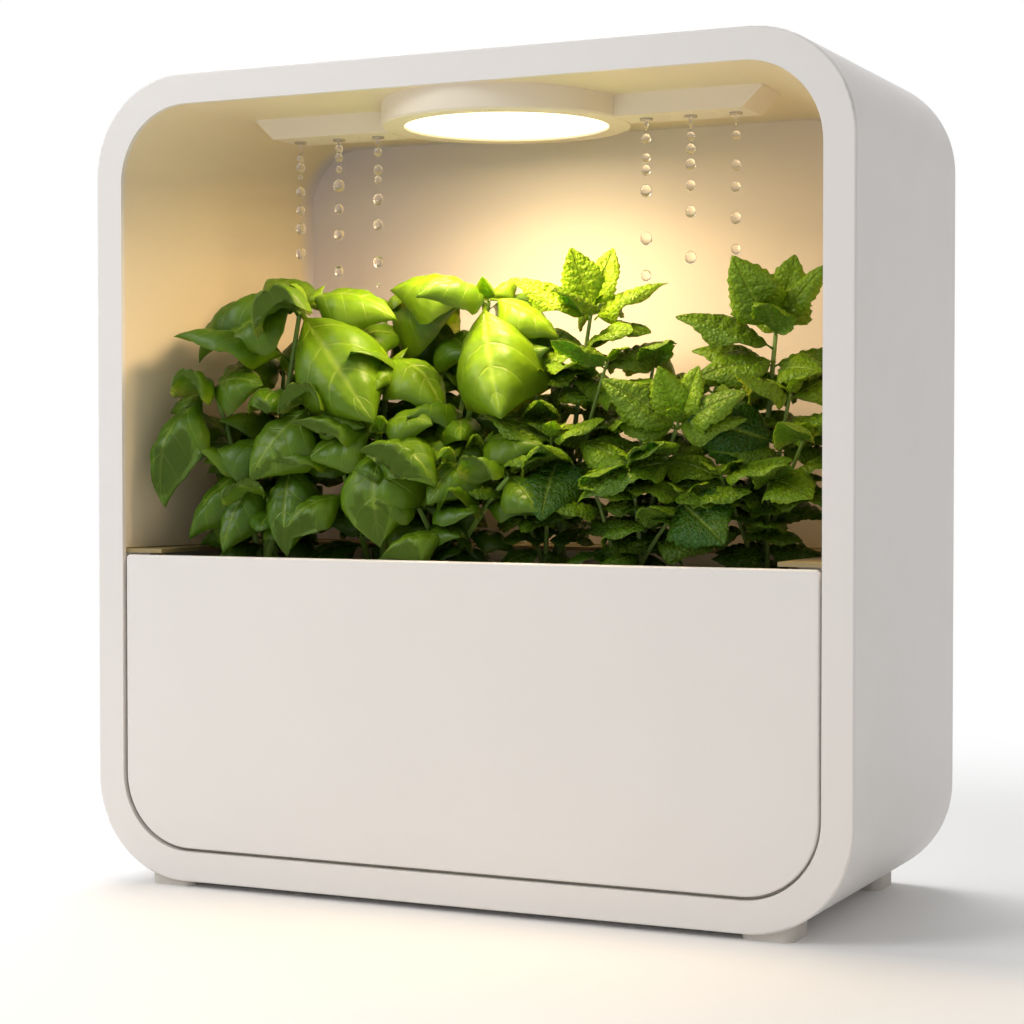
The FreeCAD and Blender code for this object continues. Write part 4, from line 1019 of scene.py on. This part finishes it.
def leaf_points(plant):
    mesh = bpy.data.meshes.new(f"{plant.name}_points")
    mesh.from_pydata([leaf[0] for leaf in plant.leaves], [], [])
    columns = (
        ("turn", "FLOAT_VECTOR", "vector", [c for leaf in plant.leaves for c in leaf[1]]),
        ("size", "FLOAT_VECTOR", "vector", [c for leaf in plant.leaves for c in leaf[2]]),
        ("shape", "INT", "value", [leaf[3] for leaf in plant.leaves]),
        ("youth", "FLOAT", "value", [leaf[4] for leaf in plant.leaves]),
    )
    for name, kind, field, values in columns:
        mesh.attributes.new(name, kind, "POINT").data.foreach_set(field, values)
    return mesh


def stem_lines(plant):
    verts, edges, thickness = [], [], []
    for points, thick, thin in plant.lines:
        first = len(verts)
        for i, point in enumerate(points):
            verts.append(point)
            thickness.append(thick + (thin - thick) * i / (len(points) - 1))
            if i:
                edges.append((first + i - 1, first + i))
    mesh = bpy.data.meshes.new(f"{plant.name}_lines")
    mesh.from_pydata(verts, edges, [])
    mesh.attributes.new("thickness", "FLOAT", "POINT").data.foreach_set("value", thickness)
    return mesh


def build_plant(plant):
    basil = plant.kind is basil_kind
    leaves = grown(
        f"{plant.name}_leaves", leaf_points(plant), leaves_on_points,
        {"Leaf Shapes": basil_shapes if basil else mint_shapes,
         "Leaf Material": basil_leaf if basil else mint_leaf,
         "Overall Size": plant.kind.overall},
    )
    stems = grown(
        f"{plant.name}_stems", stem_lines(plant), stems_on_lines,
        {"Stem Material": basil_stem if basil else mint_stem},
    )
    moved = keep_inside(leaves.data)
    print(f"{plant.name}: {len(plant.leaves)} leaves, {moved} points eased off a wall")
    for piece in (leaves, stems):
        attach(piece, "tray")
        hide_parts(plant.node)


for plant in (basil_left, basil_middle, basil_right, mint_left, mint_middle, mint_right):
    build_plant(plant)


# %% [markdown]
# Water falls in strands of beads from the nozzles. A bead just leaving its nozzle is drawn out, and
# the gaps grow as the drops speed up. The drops are one small ball each, set on points by a node
# tree, so the strands stay easy to change.


# %% Falling drops
def drop_tree():
    tree, entry, leave = start_tree(
        "drops_on_points", ("Water", "Material", None), ("Drop Radius", "Float", 2 * MM)
    )
    given = entry.outputs
    inputs = {"Radius": given["Drop Radius"], "Subdivisions": 3}
    ball = add(tree, "GeometryNodeMeshIcoSphere", inputs)
    smooth = add(tree, "GeometryNodeSetShadeSmooth", {"Geometry": ball.outputs[0]})
    copies = add(tree, "GeometryNodeInstanceOnPoints", {
        "Points": given["Geometry"], "Instance": smooth.outputs[0],
        "Scale": named_attribute(tree, "size", "FLOAT_VECTOR"),
    })
    return end_tree(tree, copies.outputs[0], given["Water"], leave)


def water():
    material, tree, shader = new_material("water")
    put(tree, shader, {
        "Base Color": (1, 1, 1), "Roughness": 0.02, "IOR": 1.33, "Transmission Weight": 1.0,
        "Normal": bump(tree, noise(tree, 300.0), 0.1 * MM),
    })
    return material


# %% [markdown]
# Each strand lists how far its beads have fallen, in millimetres below the nozzle, with the bead's
# size as a share of a full drop. One more bead still hangs on each nozzle, long and thin.

# %% Strands of drops
nozzle_low, nozzle_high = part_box("drip_nozzles")
nozzle_tip = nozzle_low[2] / MM
strand_y = (nozzle_low[1] + nozzle_high[1]) / 2 / MM
first_nozzle, nozzle_step = 74, 23
second_nozzle, third_nozzle = first_nozzle + nozzle_step, first_nozzle + 2 * nozzle_step
drop_radius = 2.6
hanging_bead, falling_stretch = (0.42, 0.42, 1.25), 1.12
strands = {
    -third_nozzle: [
        (8, 0.8), (12.5, 0.9), (17.5, 0.5), (25, 0.9), (34.5, 0.9), (44, 1.0), (57, 1.0),
    ],
    -second_nozzle: [
        (4, 0.8), (8.5, 0.8), (14.5, 0.6), (23, 1.15), (35, 0.9), (48, 1.0), (67, 0.9),
    ],
    -first_nozzle: [(7, 0.8), (16, 0.9), (21, 0.7), (31, 1.0), (44, 1.0), (63, 1.0), (75, 0.4)],
    first_nozzle: [(9, 0.9), (18, 0.8), (24, 0.9), (34, 1.1), (57, 1.15), (75, 1.0)],
    second_nozzle: [(9, 0.8), (15, 0.9), (22.5, 1.0), (32.5, 0.9), (45, 1.05), (67, 1.1)],
    third_nozzle: [(10, 0.8), (24, 0.9), (34.5, 0.9), (49, 1.05), (64, 0.9)],
}
drop_places, drop_sizes = [], []
for strand_x, beads in strands.items():
    drop_places.append(Vector((strand_x, strand_y, nozzle_tip - drop_radius)) * MM)
    drop_sizes += hanging_bead
    for fall, share in beads:
        drop_places.append(Vector((strand_x, strand_y, nozzle_tip - fall)) * MM)
        drop_sizes += (share, share, share * falling_stretch)
drop_mesh = bpy.data.meshes.new("drop_points")
drop_mesh.from_pydata(drop_places, [], [])
drop_mesh.attributes.new("size", "FLOAT_VECTOR", "POINT").data.foreach_set("vector", drop_sizes)
drop_inputs = {"Water": water(), "Drop Radius": drop_radius * MM}
drops = grown("falling_drops", drop_mesh, drop_tree(), drop_inputs)
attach(drops, "cabinet")

# %% [markdown]
# Light. The lamp inside is warm: a small disc under the opal, and a wider glow in front of it that
# lights the leaves and isn't seen itself. The studio around is soft and neutral: a broad source
# from the upper left in front, another from above and behind, and a weak warm one from the right.


# %% Lamp light
def area_light(name, place, aim, size, power, colour, spread=180):
    """A round lamp at place that looks at aim. Its spread is in degrees."""
    data = bpy.data.lights.new(name, "AREA")
    data.shape = "DISK"
    data.spread = math.radians(spread)
    data.size = size
    data.energy = power
    data.color = colour
    light = bpy.data.objects.new(name, data)
    light.location = Vector(place)
    light.rotation_euler = (Vector(aim) - Vector(place)).to_track_quat("-Z", "Y").to_euler()
    bpy.context.scene.collection.objects.link(light)
    return light


lamp_gap = 2 * MM
lamp_forward = 26 * MM
opal_low, opal_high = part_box("lamp_diffuser")
lamp_place = Vector([(a + b) / 2 for a, b in zip(opal_low, opal_high)])
lamp_place.y -= lamp_forward
lamp_place.z = opal_low[2] - lamp_gap
area_light(
    "lamp_light", lamp_place, lamp_place - UP,
    size=48 * MM, power=0.22, colour=(1.0, 0.72, 0.40), spread=150,
)
front_glow = area_light(
    "front_glow", (0.0, -0.066, 0.358), (0.0, -0.045, 0.20),
    size=80 * MM, power=0.52, colour=(1.0, 0.73, 0.42),
)
front_glow.visible_camera = False
front_glow.visible_glossy = False
area_light(
    "key_light", (-1.15, -1.35, 1.35), (0, 0, 0.2), size=1.2, power=17.5, colour=(1.0, 0.995, 0.99)
)
area_light("top_light", (-0.6, 0.7, 1.9), (0, 0, 0), size=1.6, power=23.0, colour=(1.0, 1.0, 1.0))
area_light(
    "side_light", (2.4, -0.6, 1.0), (0, 0, 0.2), size=1.4, power=0.9, colour=(1.0, 0.76, 0.56)
)

# %% [markdown]
# The surround is a pale warm white. It lights the garden less than it shows behind it, so the
# picture's background is plain white and the cabinet keeps its shading.


# %% Surround
def surround():
    world = bpy.data.worlds.new("surround")
    bpy.context.scene.world = world
    world.use_nodes = True
    tree = world.node_tree
    lit = tree.nodes["Background"]
    put(tree, lit, {"Color": (1.0, 0.985, 0.97), "Strength": 0.38})
    white = add(tree, "ShaderNodeBackground", {"Color": (1, 1, 1), "Strength": 1.0})
    inputs = {0: seen_directly(tree), 1: lit.outputs[0], 2: white.outputs[0]}
    pick = add(tree, "ShaderNodeMixShader", inputs)
    put(tree, tree.nodes["World Output"], {"Surface": pick.outputs[0]})


surround()

# %% [markdown]
# The floor is matt white. Near the garden it is lit, so it keeps the garden's shadow, and further
# out it fades into the surround's white.

# %% Floor
FADE_START, FADE_END = 0.32, 0.75


def floor_material():
    material, tree, shader = new_material("studio_floor")
    fade = eased(tree, length(tree, object_place(tree)), FADE_START, FADE_END)
    shown = maths(tree, "MULTIPLY", fade, seen_directly(tree))
    white = add(tree, "ShaderNodeEmission", {"Strength": 1.0})
    inputs = {0: shown, 1: shader.outputs[0], 2: white.outputs[0]}
    pick = add(tree, "ShaderNodeMixShader", inputs)
    put(tree, tree.nodes["Material Output"], {"Surface": pick.outputs[0]})
    put(tree, shader, {
        "Base Color": (0.93, 0.93, 0.93), "Roughness": 0.7,
        "Normal": bump(tree, noise(tree, 300.0), 0.05 * MM),
    })
    return material


floor_mesh = bpy.data.meshes.new("studio_floor")
floor_reach = 6.0
corners = [(x * floor_reach, y * floor_reach, 0) for x, y in ((-1, -1), (1, -1), (1, 1), (-1, 1))]
floor_mesh.from_pydata(corners, [], [(0, 1, 2, 3)])
floor_mesh.materials.append(floor_material())
studio_floor = bpy.data.objects.new("studio_floor", floor_mesh)
bpy.context.scene.collection.objects.link(studio_floor)
